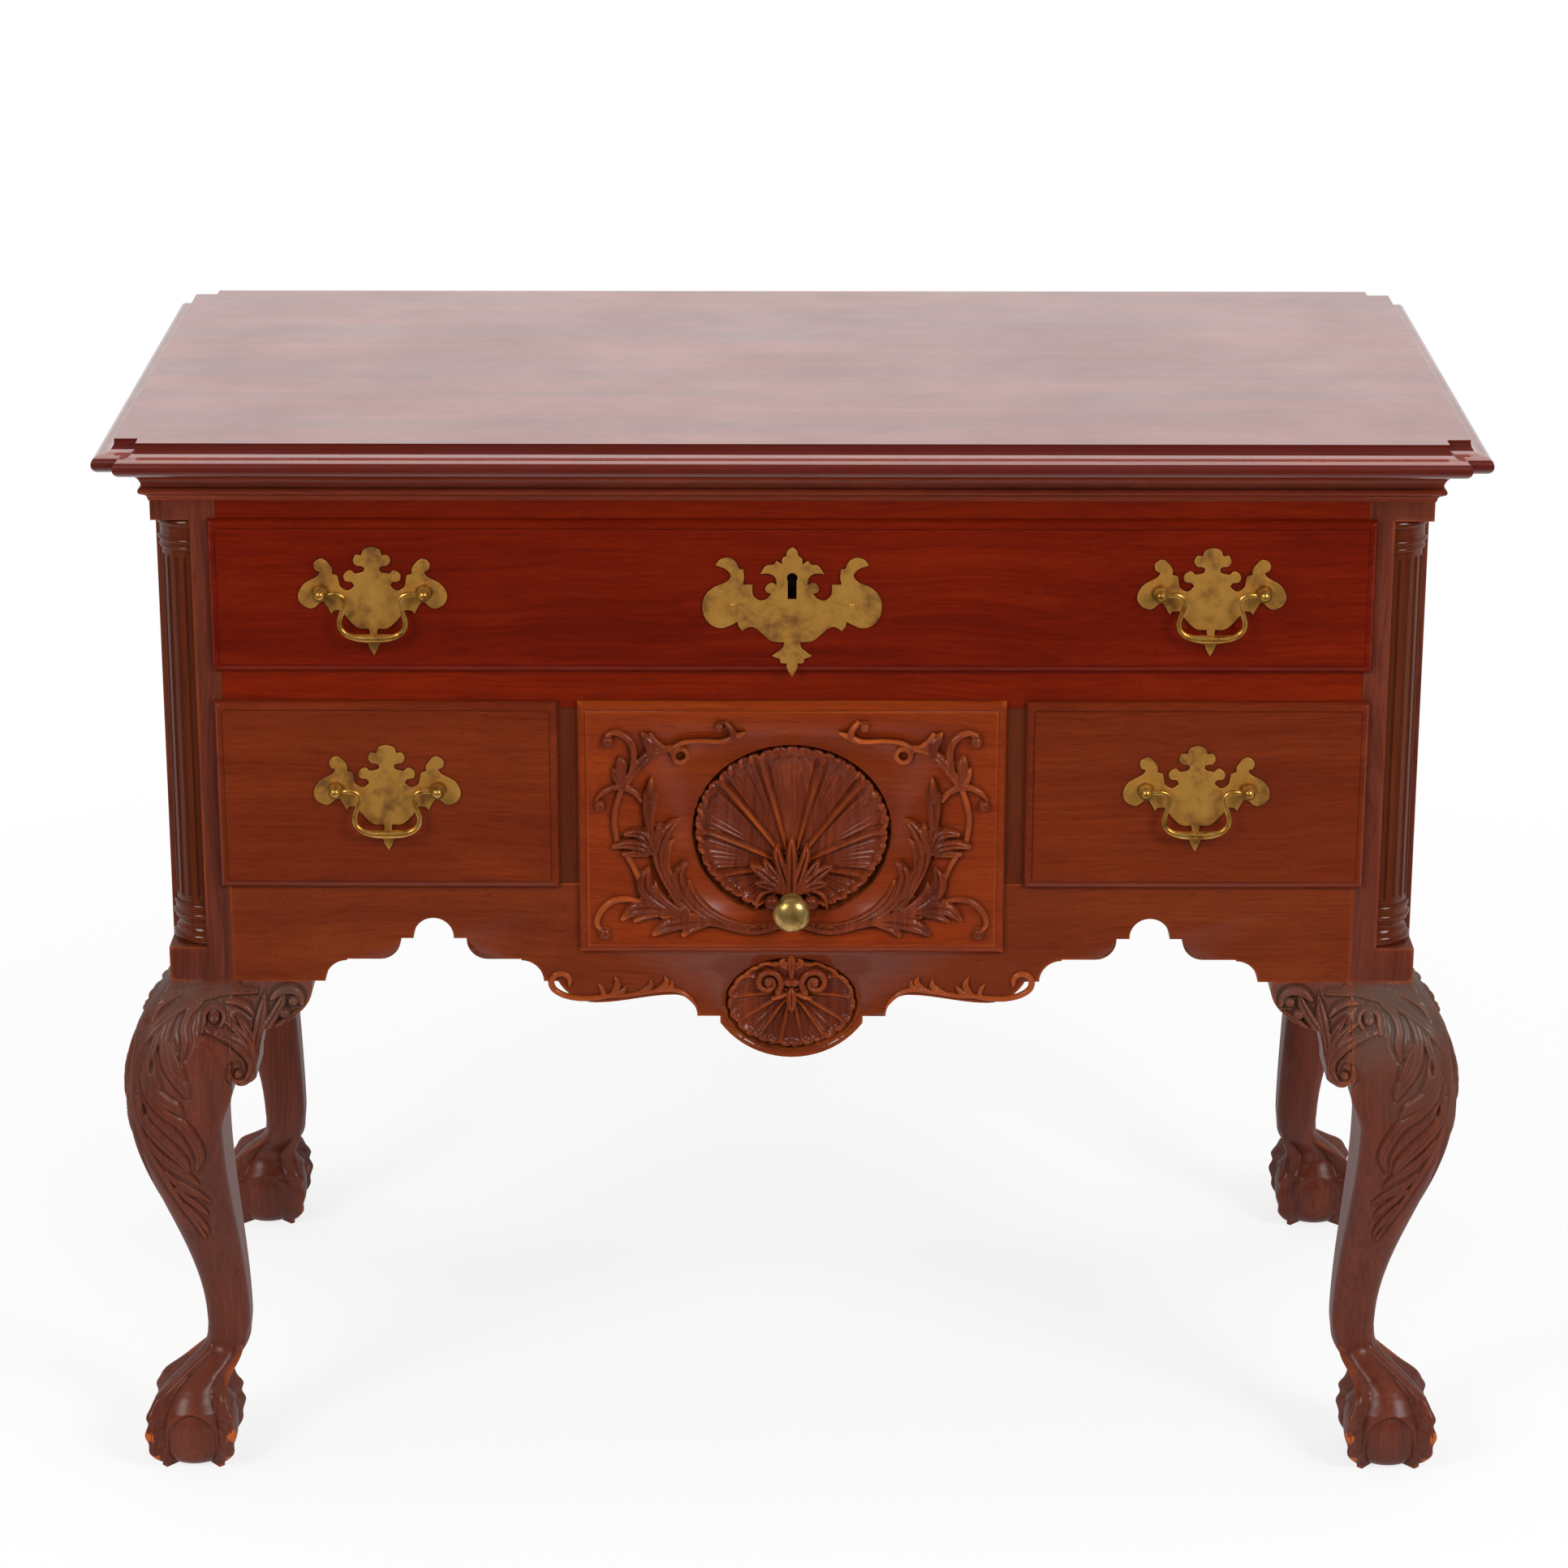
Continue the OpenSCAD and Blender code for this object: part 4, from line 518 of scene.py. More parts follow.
# %% Helpers for pieces
def only(piece):
    """Selects this piece alone and makes it the active one."""
    bpy.ops.object.select_all(action="DESELECT")
    piece.select_set(True)
    bpy.context.view_layer.objects.active = piece


def apply_modifier(piece, kind, **settings):
    only(piece)
    modifier = piece.modifiers.new(kind.lower(), kind)
    for key, value in settings.items():
        setattr(modifier, key, value)
    bpy.ops.object.modifier_apply(modifier=modifier.name)


def smooth(piece, degrees=40):
    only(piece)
    bpy.ops.object.shade_smooth_by_angle(angle=math.radians(degrees))


def dress(piece, name, material, body="case"):
    """Names a finished piece, gives it its finish and lets it ride on its body."""
    piece.name = piece.data.name = name
    piece.data.materials.clear()
    piece.data.materials.append(material)
    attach(piece, body)


def copied(piece, name):
    twin = bpy.data.objects.new(name, piece.data.copy())
    bpy.context.scene.collection.objects.link(twin)
    return twin


def cleaned(piece, weld=0.0, outwards=True):
    """Joins points that lie closer than weld, and turns the faces outwards."""
    only(piece)
    bpy.ops.object.mode_set(mode="EDIT")
    bpy.ops.mesh.select_all(action="SELECT")
    if weld:
        bpy.ops.mesh.remove_doubles(threshold=weld)
    if outwards:
        bpy.ops.mesh.normals_make_consistent(inside=False)
    bpy.ops.object.mode_set(mode="OBJECT")


def merged_copy(node, name):
    """Copy of a node's solid whose loose triangles are joined."""
    piece = copied(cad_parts[node], name)
    cleaned(piece, weld=0.01*MM, outwards=False)
    return piece


def eased(node, width, body="case", angle=35):
    piece = merged_copy(node, node + "_eased")
    if width:
        apply_modifier(piece, "BEVEL", width=width, segments=2, limit_method="ANGLE",
                       angle_limit=math.radians(angle), use_clamp_overlap=True)
    smooth(piece, 40 if width else 75)
    apply_modifier(piece, "WEIGHTED_NORMAL", keep_sharp=True, weight=80)
    dress(piece, node + "_eased", finish_of[node], body)
    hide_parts(node)
    return piece


# %% [markdown]
# ## Strokes of the gouge
# Leaves, stems and scrolls are drawn as strokes: a few points across and up in
# millimetres, each with half the width of the stroke there. A smooth curve is run
# through the points. For any place on the board, two things follow: how far it lies
# outside the nearest stroke, and how high the carving stands there. A stem is round; a
# leaf has a vein along its middle and side veins that lean towards its tip. Where
# strokes cross, the higher one wins, which gives the crisp valleys of cut wood.

# %% Strokes
WELD = 0.02*MM


def smooth_path(points, steps=7):
    p = np.array(points, float)
    p = np.vstack([2*p[0] - p[1], p, 2*p[-1] - p[-2]])
    t = np.linspace(0, 1, steps, endpoint=False)[:, None]
    parts = [0.5*(2*b + (c - a)*t + (2*a - 5*b + 4*c - d)*t**2 + (3*b - a - 3*c + d)*t**3)
             for a, b, c, d in zip(p, p[1:], p[2:], p[3:])]
    return np.vstack(parts + [p[-2:-1]])


def stroke_section(kind, r, along):
    """Height, from 0 at the edge to 1 at the crest, at share r of the half width."""
    body = (1 - np.clip(r, 0, 1)**2.4)**0.42
    if kind != "leaf":
        return body
    vein = 0.34*np.exp(-(r/0.17)**2)
    ribs = 0.05*(0.5 + 0.5*np.cos(2*math.pi*(along/3.4 - 0.9*r)))*np.clip(2*r, 0, 1)
    return body*(1 - vein - ribs)


def carve(places, strokes):
    """For each place (across, up): the height, the distance outside, and the way back."""
    high = np.zeros(len(places))
    outside = np.full(len(places), 1e3)
    back = np.zeros((len(places), 2))
    for kind, crest, points in strokes:
        path = smooth_path(points)
        widest = path[:, 2].max()
        low, top = path[:, :2].min(0) - widest - 3, path[:, :2].max(0) + widest + 3
        near = np.flatnonzero(((places > low) & (places < top)).all(1))
        if not len(near):
            continue
        q = places[near]
        best = np.full(len(q), 1e3)
        r, width, run = (np.zeros(len(q)) for _ in range(3))
        way = np.zeros((len(q), 2))
        travelled = 0.0
        for a, b in zip(path, path[1:]):
            d = b[:2] - a[:2]
            length = max(1e-6, float(np.hypot(*d)))
            t = np.clip((q - a[:2]) @ d/length**2, 0, 1)
            gap = q - (a[:2] + t[:, None]*d)
            far = np.hypot(gap[:, 0], gap[:, 1])
            w = a[2] + t*(b[2] - a[2])
            closer = far - w < best
            best = np.where(closer, far - w, best)
            r = np.where(closer, far/w, r)
            width = np.where(closer, w, width)
            run = np.where(closer, travelled + t*length, run)
            way = np.where(closer[:, None], -gap/np.maximum(far, 1e-6)[:, None], way)
            travelled += length
        slim = np.clip(width/widest, 0, 1)**0.4
        here = crest*slim*stroke_section(kind, r, run)*(best < 0)
        high[near] = np.maximum(high[near], here)
        closer = best < outside[near]
        outside[near] = np.where(closer, best, outside[near])
        back[near] = np.where(closer[:, None], way, back[near])
    return high, outside, back


def points_of(piece):
    co = np.empty(len(piece.data.vertices)*3)
    piece.data.vertices.foreach_get("co", co)
    return co.reshape(-1, 3)


def set_points(piece, co):
    piece.data.vertices.foreach_set("co", np.ascontiguousarray(co, float).ravel())
    piece.data.update()


def chosen_points(piece):
    """Which points the last operator left selected."""
    chosen = np.empty(len(piece.data.vertices), bool)
    piece.data.vertices.foreach_get("select", chosen)
    return chosen


def choose(piece, chosen):
    """Selects these vertices and no others, for the next operator in edit mode."""
    only(piece)
    bpy.ops.object.mode_set(mode="EDIT")
    bpy.ops.mesh.select_mode(type="VERT")
    bpy.ops.mesh.select_all(action="DESELECT")
    bpy.ops.object.mode_set(mode="OBJECT")
    piece.data.vertices.foreach_set("select", np.asarray(chosen, bool))
    bpy.ops.object.mode_set(mode="EDIT")


def new_grid(across, up):
    """Grid of this many cells, on which a carving is laid out."""
    bpy.ops.object.select_all(action="DESELECT")
    bpy.ops.mesh.primitive_grid_add(x_subdivisions=across, y_subdivisions=up, size=1)
    return bpy.context.object


def both_halves(strokes):
    """Strokes drawn for one half, after their mirror image."""
    return [(kind, crest, [(-x, z, w) for x, z, w in points])
            for kind, crest, points in strokes] + strokes


def applied_carving(strokes, face_y, cell=0.6, sunk=0.6):
    """Carving that stands on a board whose face is at face_y, all in millimetres.
    A grid is trimmed to the outline of the strokes, extruded and raised to their height."""
    every = np.vstack([smooth_path(p) for _, _, p in strokes])
    low = (every[:, :2] - every[:, 2:]).min(0) - 2*cell
    top = (every[:, :2] + every[:, 2:]).max(0) + 2*cell
    cells = np.ceil((top - low)/cell).astype(int)
    piece = new_grid(*[int(c) for c in cells])
    plan = (points_of(piece)[:, :2] + 0.5)*(top - low) + low
    _, outside, back = carve(plan, strokes)
    rim = (outside > 0) & (outside < 1.45*cell)
    plan[rim] += back[rim]*outside[rim, None]
    set_points(piece, np.column_stack([plan[:, 0], np.full(len(plan), face_y + sunk),
                                       plan[:, 1]])*MM)
    choose(piece, outside >= 1.45*cell)
    bpy.ops.mesh.delete(type="VERT")
    bpy.ops.mesh.select_all(action="SELECT")
    bpy.ops.mesh.extrude_region_move()
    bpy.ops.object.mode_set(mode="OBJECT")
    raised = chosen_points(piece)
    co = points_of(piece)
    high, outside, _ = carve(co[:, [0, 2]]/MM, strokes)
    co[raised, 1] = (face_y - high[raised])*MM
    set_points(piece, co)
    cleaned(piece, weld=WELD)
    smooth(piece, 75)
    return piece


def mirrored_copy(piece):
    """Copy of a carving for the other half, with its faces turned outwards again."""
    twin = copied(piece, piece.name + "_mirrored")
    set_points(twin, points_of(twin)*(-1, 1, 1))
    only(twin)
    bpy.ops.object.mode_set(mode="EDIT")
    bpy.ops.mesh.select_all(action="SELECT")
    bpy.ops.mesh.flip_normals()
    bpy.ops.object.mode_set(mode="OBJECT")
    return twin


# %% [markdown]
# ## Vines on the middle drawer
# Two vines of acanthus run out from under the knob and round the shell. They stand
# about 4 mm proud of the board. One is drawn and carved, and its mirror image is the
# other. The knob covers the place where they meet.

# %% Vines
FACE_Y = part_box("middle_drawer_front")[0].y/MM
# Its darkened hollows are dirt and painted shade together.
shell_finish = mahogany("carved_mahogany_shell", "z", SHELL, 15, dirt_and_shade_amount=0.9, rough=0.4, coat=0.4,
                        wear=0.9, dirt_and_shade_tone="#2b130c", coat_rough=0.24)
VINE = [
    ("leaf", 5, [(-71, 447, 1.3), (-69.5, 439.5, 2.9), (-64.5, 431, 3.8), (-56.5, 423.5, 3.5),
                   (-45, 417.5, 2.7), (-29, 413.5, 2.1), (-8, 415.5, 1.7)]),
    ("ball", 5.1, [(-73.5, 459.5, 3), (-75.5, 457.5, 2.9)]),
    ("leaf", 5, [(-75, 457.5, 3.4), (-78, 453, 4.4), (-78, 447, 5.1), (-75, 438.5, 4.9),
                   (-68.5, 429, 4), (-60, 421, 3.2), (-49.5, 417, 2.1)]),
    ("leaf", 4.3, [(-85, 456, 1), (-83.5, 448.5, 3.5), (-79.5, 441, 4), (-72.5, 432, 3.2)]),
    ("leaf", 5.5, [(-77.5, 491.5, 1.2), (-82.5, 488, 3.5), (-88, 480.5, 4.8), (-92, 470.5, 4.9),
                   (-92, 461.5, 4), (-89, 451, 3.2), (-84.5, 441.5, 2.7), (-79, 431.5, 2.3),
                   (-71.5, 424.5, 1.7)]),
    ("ball", 5.1, [(-91.5, 486.5, 2.6), (-92, 483, 2.6)]),
    ("leaf", 4.8, [(-91.5, 485, 2.9), (-92, 479.5, 3.8), (-93, 471, 3.8)]),
    ("leaf", 3.8, [(-81, 478, 1), (-85, 472, 2.6), (-86.5, 462.5, 2.9), (-86, 452, 2.3)]),
    ("leaf", 4.6, [(-96.5, 469, 1.4), (-97, 478.5, 2.9), (-98, 489.5, 3.8), (-98, 500.5, 4.9),
                   (-97, 508.5, 5.7)]),
    ("stem", 5.3, [(-97.5, 506.5, 3.3), (-97, 514, 3.4), (-96.5, 522, 1)]),
    ("leaf", 5.3, [(-96.5, 468, 1.2), (-99.5, 477, 3.8), (-106, 482, 4), (-115, 481, 1.7)]),
    ("leaf", 5.8, [(-96.5, 466.5, 1.2), (-104, 472.5, 4), (-113.5, 474, 3.8),
                   (-123, 472, 1.7)]),
    ("leaf", 4.6, [(-100, 466, 1.7), (-108, 467, 2.9), (-116.5, 466.5, 1.7)]),
    ("stem", 2.9, [(-105.5, 447, 2), (-110, 458, 2.1), (-114, 465, 2.1)]),
    ("stem", 3.1, [(-121, 477.5, 2.2), (-122.5, 489.5, 2.2), (-121.5, 500.5, 2.2),
                   (-118.5, 510, 2.2), (-116, 517, 2.3)]),
    ("leaf", 4.1, [(-116.5, 515, 2.6), (-109.5, 525.5, 3.6), (-100.5, 536, 4),
                   (-92.5, 541.5, 3.5), (-83, 543.5, 2.2)]),
    ("stem", 3.7, [(-110.5, 527.5, 2.1), (-108.5, 536.5, 2.5), (-109.5, 545.5, 2.9),
                   (-114, 551.5, 2.5), (-121, 554.5, 2.2), (-127, 553, 1.7)]),
    ("ball", 5.3, [(-126.5, 548.5, 4.4), (-126.5, 548, 4.4)]),
    ("stem", 4.8, [(-116, 518.5, 2.3), (-117.5, 525.5, 3.6), (-117, 532, 4.3), (-118.5, 537.5, 1)]),
    ("leaf", 3.8, [(-123, 528.5, 1), (-120.5, 522.5, 3.2), (-117.5, 517, 2.6)]),
    ("stem", 4.8, [(-97.5, 537.5, 2.1), (-97, 544, 3.9), (-99.5, 549, 3.6), (-103, 554.5, 0.9)]),
    ("leaf", 3.8, [(-97, 553.5, 1.4), (-93.5, 548, 2.3), (-88, 544.5, 1.4)]),
    ("stem", 3.3, [(-83, 542, 2.4), (-75.5, 547, 1.7), (-63, 548.5, 1.4), (-49, 548, 1.7),
                   (-40, 551, 2.5), (-32.5, 554.5, 0.8)]),
    ("stem", 4, [(-39.5, 551, 2.2), (-41.5, 557, 2.2), (-45, 561.5, 1.7)]),
    ("ball", 5.3, [(-50, 559, 3.6), (-50, 558.5, 3.6)]),
    ("stem", 3.5, [(-82.5, 542, 1.8), (-80.5, 535, 1.7), (-76, 533, 1.7), (-71.5, 537, 1.7),
                   (-73.5, 542, 1.7), (-78, 542.5, 1.7), (-81.5, 539, 1.5)]),
    ("stem", 4, [(-104, 505, 1.1), (-107.5, 511, 2.3), (-114.5, 515, 2.8), (-122.5, 515, 2.3),
                   (-130, 511.5, 2.1), (-135, 506, 1)]),
    ("ball", 5.1, [(-132.5, 502, 4.2), (-132.5, 501.5, 4.2)]),
    ("leaf", 5.3, [(-99, 456.5, 1), (-101.5, 449.5, 4.7), (-101, 441.5, 6.4),
                   (-95.5, 434.5, 5.6), (-87.5, 428.5, 4.4), (-76, 423.5, 2.9), (-61, 419.5, 1.4)]),
    ("stem", 4.8, [(-94.5, 445.5, 1), (-93, 439.5, 2.4), (-88, 432.5, 3.1), (-79, 425.5, 2.4)]),
    ("stem", 3.3, [(-105.5, 432, 1.3), (-116.5, 433, 2.1), (-125.5, 431, 2.3), (-133, 423.5, 2.3),
                   (-135.5, 415.5, 2), (-133.5, 411, 1.5)]),
    ("ball", 4.8, [(-130, 408, 4.5), (-130, 407.5, 4.5)]),
    ("leaf", 4.8, [(-117.5, 418.5, 1.7), (-109.5, 425.5, 4.9), (-100, 427.5, 4.9),
                   (-88.5, 425.5, 3.9), (-74, 421.5, 2.3), (-61, 419, 1.3)]),
    ("leaf", 4.1, [(-109, 417, 1.4), (-101, 421.5, 3.5), (-90.5, 423.5, 3.2)]),
    ("leaf", 4.8, [(-95.5, 407.5, 2.1), (-86.5, 413.5, 5.2), (-75, 416, 4.9), (-63.5, 417, 4),
                   (-51, 415.5, 2.6)]),
    ("leaf", 4.1, [(-75, 407, 2.1), (-70, 412, 3.8), (-60.5, 415.5, 3.2)]),
    ("leaf", 3.8, [(-90.5, 420, 1), (-81.5, 419.5, 2.2), (-69.5, 419, 1.7)]),
    ("stem", 4, [(-8, 413, 1.7), (-23, 409.5, 2.2), (-33.5, 410, 2.3), (-44, 413, 2.5),
                   (-54.5, 416, 2.9)]),
]
vine = applied_carving(VINE, FACE_Y)
twin = mirrored_copy(vine)
for piece, name in ((vine, "vine_left"), (twin, "vine_right")):
    dress(piece, name, shell_finish, "middle_drawer")
    print(name, len(piece.data.polygons), "faces")

# %% [markdown]
# ## Shell in its oval hollow
# The shell is carved below the face of the drawer, in an oval hollow with steep walls.
# Its eleven lobes fan out from a point over the knob. Each lobe is a shallow trough with
# fine reeds, a raised fillet parts it from the next, and its end curls up in a
# scalloped lip. That is easiest to write in polar form about the foot of the fan: a
# grid is bent into a disc, and its depth follows the angle and the share of the way to
# the lip.

# %% Shell of the drawer
def lobed_shell(middle, half_w, half_h, foot_up, lobes, lips, face_y, depth, reeds, cells, fan=1):
    """Shell in an oval about middle, whose fan opens upwards (fan = 1) or downwards (-1).
    foot_up is the foot of the fan above the middle. lobes lists for one half, from the
    middle of the fan, where a lobe ends, how high its fillet is and how many reeds it
    has. lips gives the reach of the shell as a share of that of the oval, by angle."""
    turns, rings = cells
    ends, heights, counts = (list(row) for row in zip(*lobes))
    edges = np.radians([-b for b in reversed(ends)] + ends)
    high = np.array(list(reversed(heights)) + heights)
    count = np.array(list(reversed(counts[1:])) + counts)
    piece = new_grid(turns, rings)
    uv = points_of(piece)[:, :2] + 0.5
    angle = (uv[:, 0]*2 - 1)*math.pi
    share = uv[:, 1]
    way = np.column_stack([np.sin(angle), fan*np.cos(angle)])
    a = (way[:, 0]/half_w)**2 + (way[:, 1]/half_h)**2
    b = foot_up*way[:, 1]/half_h**2
    c = (foot_up/half_h)**2 - 1
    reach = (-b + np.sqrt(b*b - a*c))/a
    lobe = np.clip(np.searchsorted(edges, angle) - 1, 0, len(edges) - 2)
    start, end = edges[lobe], edges[lobe + 1]
    t = np.clip((angle - start)/(end - start), 0, 1)
    bulge = np.sin(math.pi*t)
    reed = 2*np.abs(np.sin(math.pi*t*count[lobe])) - 1
    size = half_w/70
    away = np.degrees(np.abs(angle))
    wander = np.sin(7*angle + 1) + np.sin(17*angle + 3) + 0.7*np.sin(31*angle)
    scallop = np.abs(np.sin(math.pi*t*count[lobe]/2))
    lip = (np.interp(away, *zip(*lips)) + 0.004*wander - 1.8*size/reach*(1 - scallop**0.7)
           - 1.6*size/reach*(1 - bulge**0.4))
    f = share/lip
    g = np.clip(f, 0, 1)
    dish = depth*(0.3 + 0.7*np.sin(math.pi*g**0.85)**0.9)
    trough = 2.2*size*(bulge**0.7 - 0.6)*np.clip(2.2*g, 0, 1)
    ridge = np.where(t < 0.5, high[lobe], high[lobe + 1])
    side = np.minimum(t, 1 - t)*(end - start)*np.clip(g, 0.02, 1)*reach
    wide = size*(0.6 + 1.3*g)
    fillet = ridge*size*np.exp(-(side/wide)**2)*np.clip(1.3 - g, 0, 1)**0.3
    groove = 0.8*size*np.exp(-((side - 2.1*wide)/(0.8*wide))**2)
    furrow = reeds[0]*size*reed*np.clip((g - reeds[1])/0.35, 0.25, 1)*np.clip(3*g - 0.3, 0, 1)
    ruffle = 1 + 0.3*np.sin(math.pi*t*count[lobe]) + 0.25*wander
    curl = 2.6*size*ruffle*np.exp(-((g - 0.955)/0.05)**2)
    surface = dish + trough - fillet + groove - furrow - curl
    out = np.clip((share - lip)/np.maximum(1 - lip, 0.01), 0, 1)
    moat = depth*1.02*(1 - out**3)
    drop = np.clip((f - 1)/0.02, 0, 1)
    deep = np.clip(surface*(1 - drop) + moat*drop, 0.4, depth + 2)
    foot = np.clip(g/0.06, 0, 1)
    deep = deep*foot + depth*0.35*(1 - foot)
    wall = share > 1 - 1.2/rings
    deep = np.where(wall, -0.02, deep)
    flat = np.where(wall, reach, share/(1 - 1/rings)*reach*0.998)
    co = np.column_stack([middle[0] + flat*way[:, 0], face_y + deep,
                          middle[1] + foot_up + flat*way[:, 1]])
    set_points(piece, co*MM)
    return piece, wall


def rims_filled(piece, times=1):
    """Fills the open rims of a piece with faces, and turns all its faces outwards."""
    only(piece)
    bpy.ops.object.mode_set(mode="EDIT")
    for _ in range(times):
        bpy.ops.mesh.select_all(action="DESELECT")
        bpy.ops.mesh.select_non_manifold(extend=False)
        bpy.ops.mesh.edge_face_add()
    bpy.ops.object.mode_set(mode="OBJECT")
    cleaned(piece)


def back_closed(piece, rim, back_y):
    """Extrudes the rim of a carved disc backwards and fills it, so that it is solid."""
    choose(piece, rim)
    bpy.ops.mesh.extrude_region_move()
    bpy.ops.object.mode_set(mode="OBJECT")
    co = points_of(piece)
    co[chosen_points(piece), 1] = back_y*MM
    set_points(piece, co)
    cleaned(piece, weld=WELD, outwards=False)
    rims_filled(piece)
    smooth(piece, 60)


SHELL_MIDDLE = (0, 482)
SHELL_HALF_W, SHELL_HALF_H = 69.5, 63.5
shell, rim = lobed_shell(SHELL_MIDDLE, SHELL_HALF_W, SHELL_HALF_H, -28,
                         [(15, 1.3, 10), (37.5, 2.6, 8), (65.5, 2.2, 8), (95.5, 2.0, 8),
                          (141, 1.0, 9)],
                         [(0, 0.975), (60, 0.972), (76, 0.95), (95, 0.93), (112, 0.905),
                          (140, 0.9), (150, 0.55), (180, 0.5)],
                         FACE_Y, 8.6, (0.42, 0.35), (860, 106))
back_closed(shell, rim, FACE_Y + 17)
dress(shell, "drawer_shell", shell_finish, "middle_drawer")
print("drawer_shell", len(shell.data.polygons), "faces")

# %% [markdown]
# ## Palmette over the knob
# Five pointed leaves and two berries hide the foot of the fan. They are strokes too, but
# they stand in the hollow of the shell and rise to just above the face of the drawer.

# %% Palmette
PALMETTE_HALF = [
    ("leaf", 7.2, [(10, 470, 1.5), (9.8, 465, 3.4), (7, 455, 4.2), (3.5, 444, 3.1),
                   (0.8, 435, 1.8)]),
    ("leaf", 6.8, [(27.5, 456, 1.5), (22.5, 453.5, 4.1), (14, 446.5, 4.9), (5, 438, 3)]),
    ("leaf", 6.4, [(18.5, 459.5, 1.2), (15.5, 455, 3.5), (10, 447, 3.8), (3, 437, 2)]),
    ("leaf", 6.4, [(24.5, 443.5, 1.2), (19, 443, 3.8), (11, 440.5, 4.1), (4, 436, 2.4)]),
    ("stem", 5.6, [(24.5, 425, 1), (23.8, 431.5, 1.9), (19.5, 436.8, 2), (12, 438.5, 1.4)]),
    ("ball", 8.4, [(13.8, 429.8, 5.6), (13.8, 429.3, 5.6)]),
    ("ball", 2.4, [(8, 407, 3.8), (8.4, 407, 3.8)]),
]
PALMETTE = both_halves(PALMETTE_HALF) + [
    ("leaf", 7.0, [(0, 475.5, 1.1), (0, 465.5, 4.3), (0, 452, 5.1), (0, 434, 4.1)]),
    ("stem", 4.0, [(0, 437, 6), (0, 426, 9), (0, 416, 8)]),
]
palmette = applied_carving(PALMETTE, FACE_Y + 5.5, sunk=3)
dress(palmette, "palmette", shell_finish, "middle_drawer")
print("palmette", len(palmette.data.polygons), "faces")

# %% [markdown]
# The drawer front keeps its own solid's shape, apart from the hollow: an oval prism is
# cut from a copy of it, and the carved shell fills that opening.

# %% Front of the middle drawer
OVAL_PLAY = 0.03


def oval_cutter(middle, half_w, half_h, y0, y1):
    bpy.ops.object.select_all(action="DESELECT")
    bpy.ops.mesh.primitive_cylinder_add(vertices=180, radius=1, depth=1)
    cutter = bpy.context.object
    co = points_of(cutter)
    set_points(cutter, np.column_stack([middle[0] + co[:, 0]*half_w,
                                        (y0 + y1)/2 + co[:, 2]*(y1 - y0),
                                        middle[1] + co[:, 1]*half_h])*MM)
    cleaned(cutter)
    return cutter


def hollowed(node, middle, half_w, half_h, face_y, deep, body):
    """Copy of a node's solid with an oval hole for its carved shell."""
    piece = merged_copy(node, node + "_eased")
    cutter = oval_cutter(middle, half_w + OVAL_PLAY, half_h + OVAL_PLAY, face_y - 2,
                         face_y + deep)
    apply_modifier(piece, "BOOLEAN", object=cutter, operation="DIFFERENCE", solver="EXACT")
    bpy.data.objects.remove(cutter)
    smooth(piece, 30)
    dress(piece, node + "_eased", finish_of[node], body)
    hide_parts(node)
    return piece


front = hollowed("middle_drawer_front", SHELL_MIDDLE, SHELL_HALF_W, SHELL_HALF_H, FACE_Y, 16.8,
                 "middle_drawer")
print("drawer front", len(front.data.polygons), "faces")

# %% [markdown]
# ## Shell and scrolls on the apron
# The drop of the apron has an oval recess with a second shell, which hangs upside down
# from two scrolls and a small fleur. Along the lower edge of the apron, at both sides of
# the drop, runs a raised bead that curls at its outer end and throws off small leaves.

# %% Shell and scrolls of the apron
APRON_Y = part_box("apron")[0].y/MM
RECESS_MIDDLE, RECESS_HALF_W, RECESS_HALF_H = (0, 352), 47.5, 35
small_shell, rim = lobed_shell(RECESS_MIDDLE, RECESS_HALF_W, RECESS_HALF_H, 8,
                               [(12, 1.6, 4), (35, 2.6, 4), (60, 2.4, 4), (85, 2.2, 4),
                                (112, 2.0, 4), (146, 1.6, 4)],
                               [(0, 0.93), (60, 0.93), (100, 0.95), (146, 0.95), (180, 0.93)],
                               APRON_Y, 5.0, (0.55, 0.3), (600, 80), fan=-1)
back_closed(small_shell, rim, APRON_Y + 13)
dress(small_shell, "apron_shell", shell_finish)
VOLUTE = [(16.4 + (9.8 - 0.62*i)*math.cos(math.radians(225 - 45*i)),
           367.6 + (9.8 - 0.62*i)*math.sin(math.radians(225 - 45*i)), 2.7 - 0.09*i)
          for i in range(13)]
VOLUTE_HALF = [
    ("stem", 4.2, VOLUTE),
    ("ball", 4.8, [(16.2, 367.8, 3), (16.5, 367.4, 3)]),
    ("leaf", 2.8, [(3, 378, 1.2), (6.5, 381.5, 2.6), (5.5, 385, 1.2)]),
    ("stem", 3.4, [(3.5, 359.5, 1), (8, 357, 1.8), (13.5, 355, 0.9)]),
]
VOLUTES = both_halves(VOLUTE_HALF) + [
    ("leaf", 3.6, [(0, 387, 2), (0, 383, 3.4), (0, 376, 2.4), (0, 372, 1.4)]),
    ("ball", 4.8, [(-2.4, 368, 3.2), (2.4, 368, 3.2)]),
    ("leaf", 4.4, [(0, 362.5, 1.4), (0, 357, 4.2), (0, 350, 3.2), (0, 346.5, 1)]),
]
volutes = applied_carving(VOLUTES, APRON_Y + 2.6, cell=0.5, sunk=3)
dress(volutes, "apron_volutes", shell_finish)
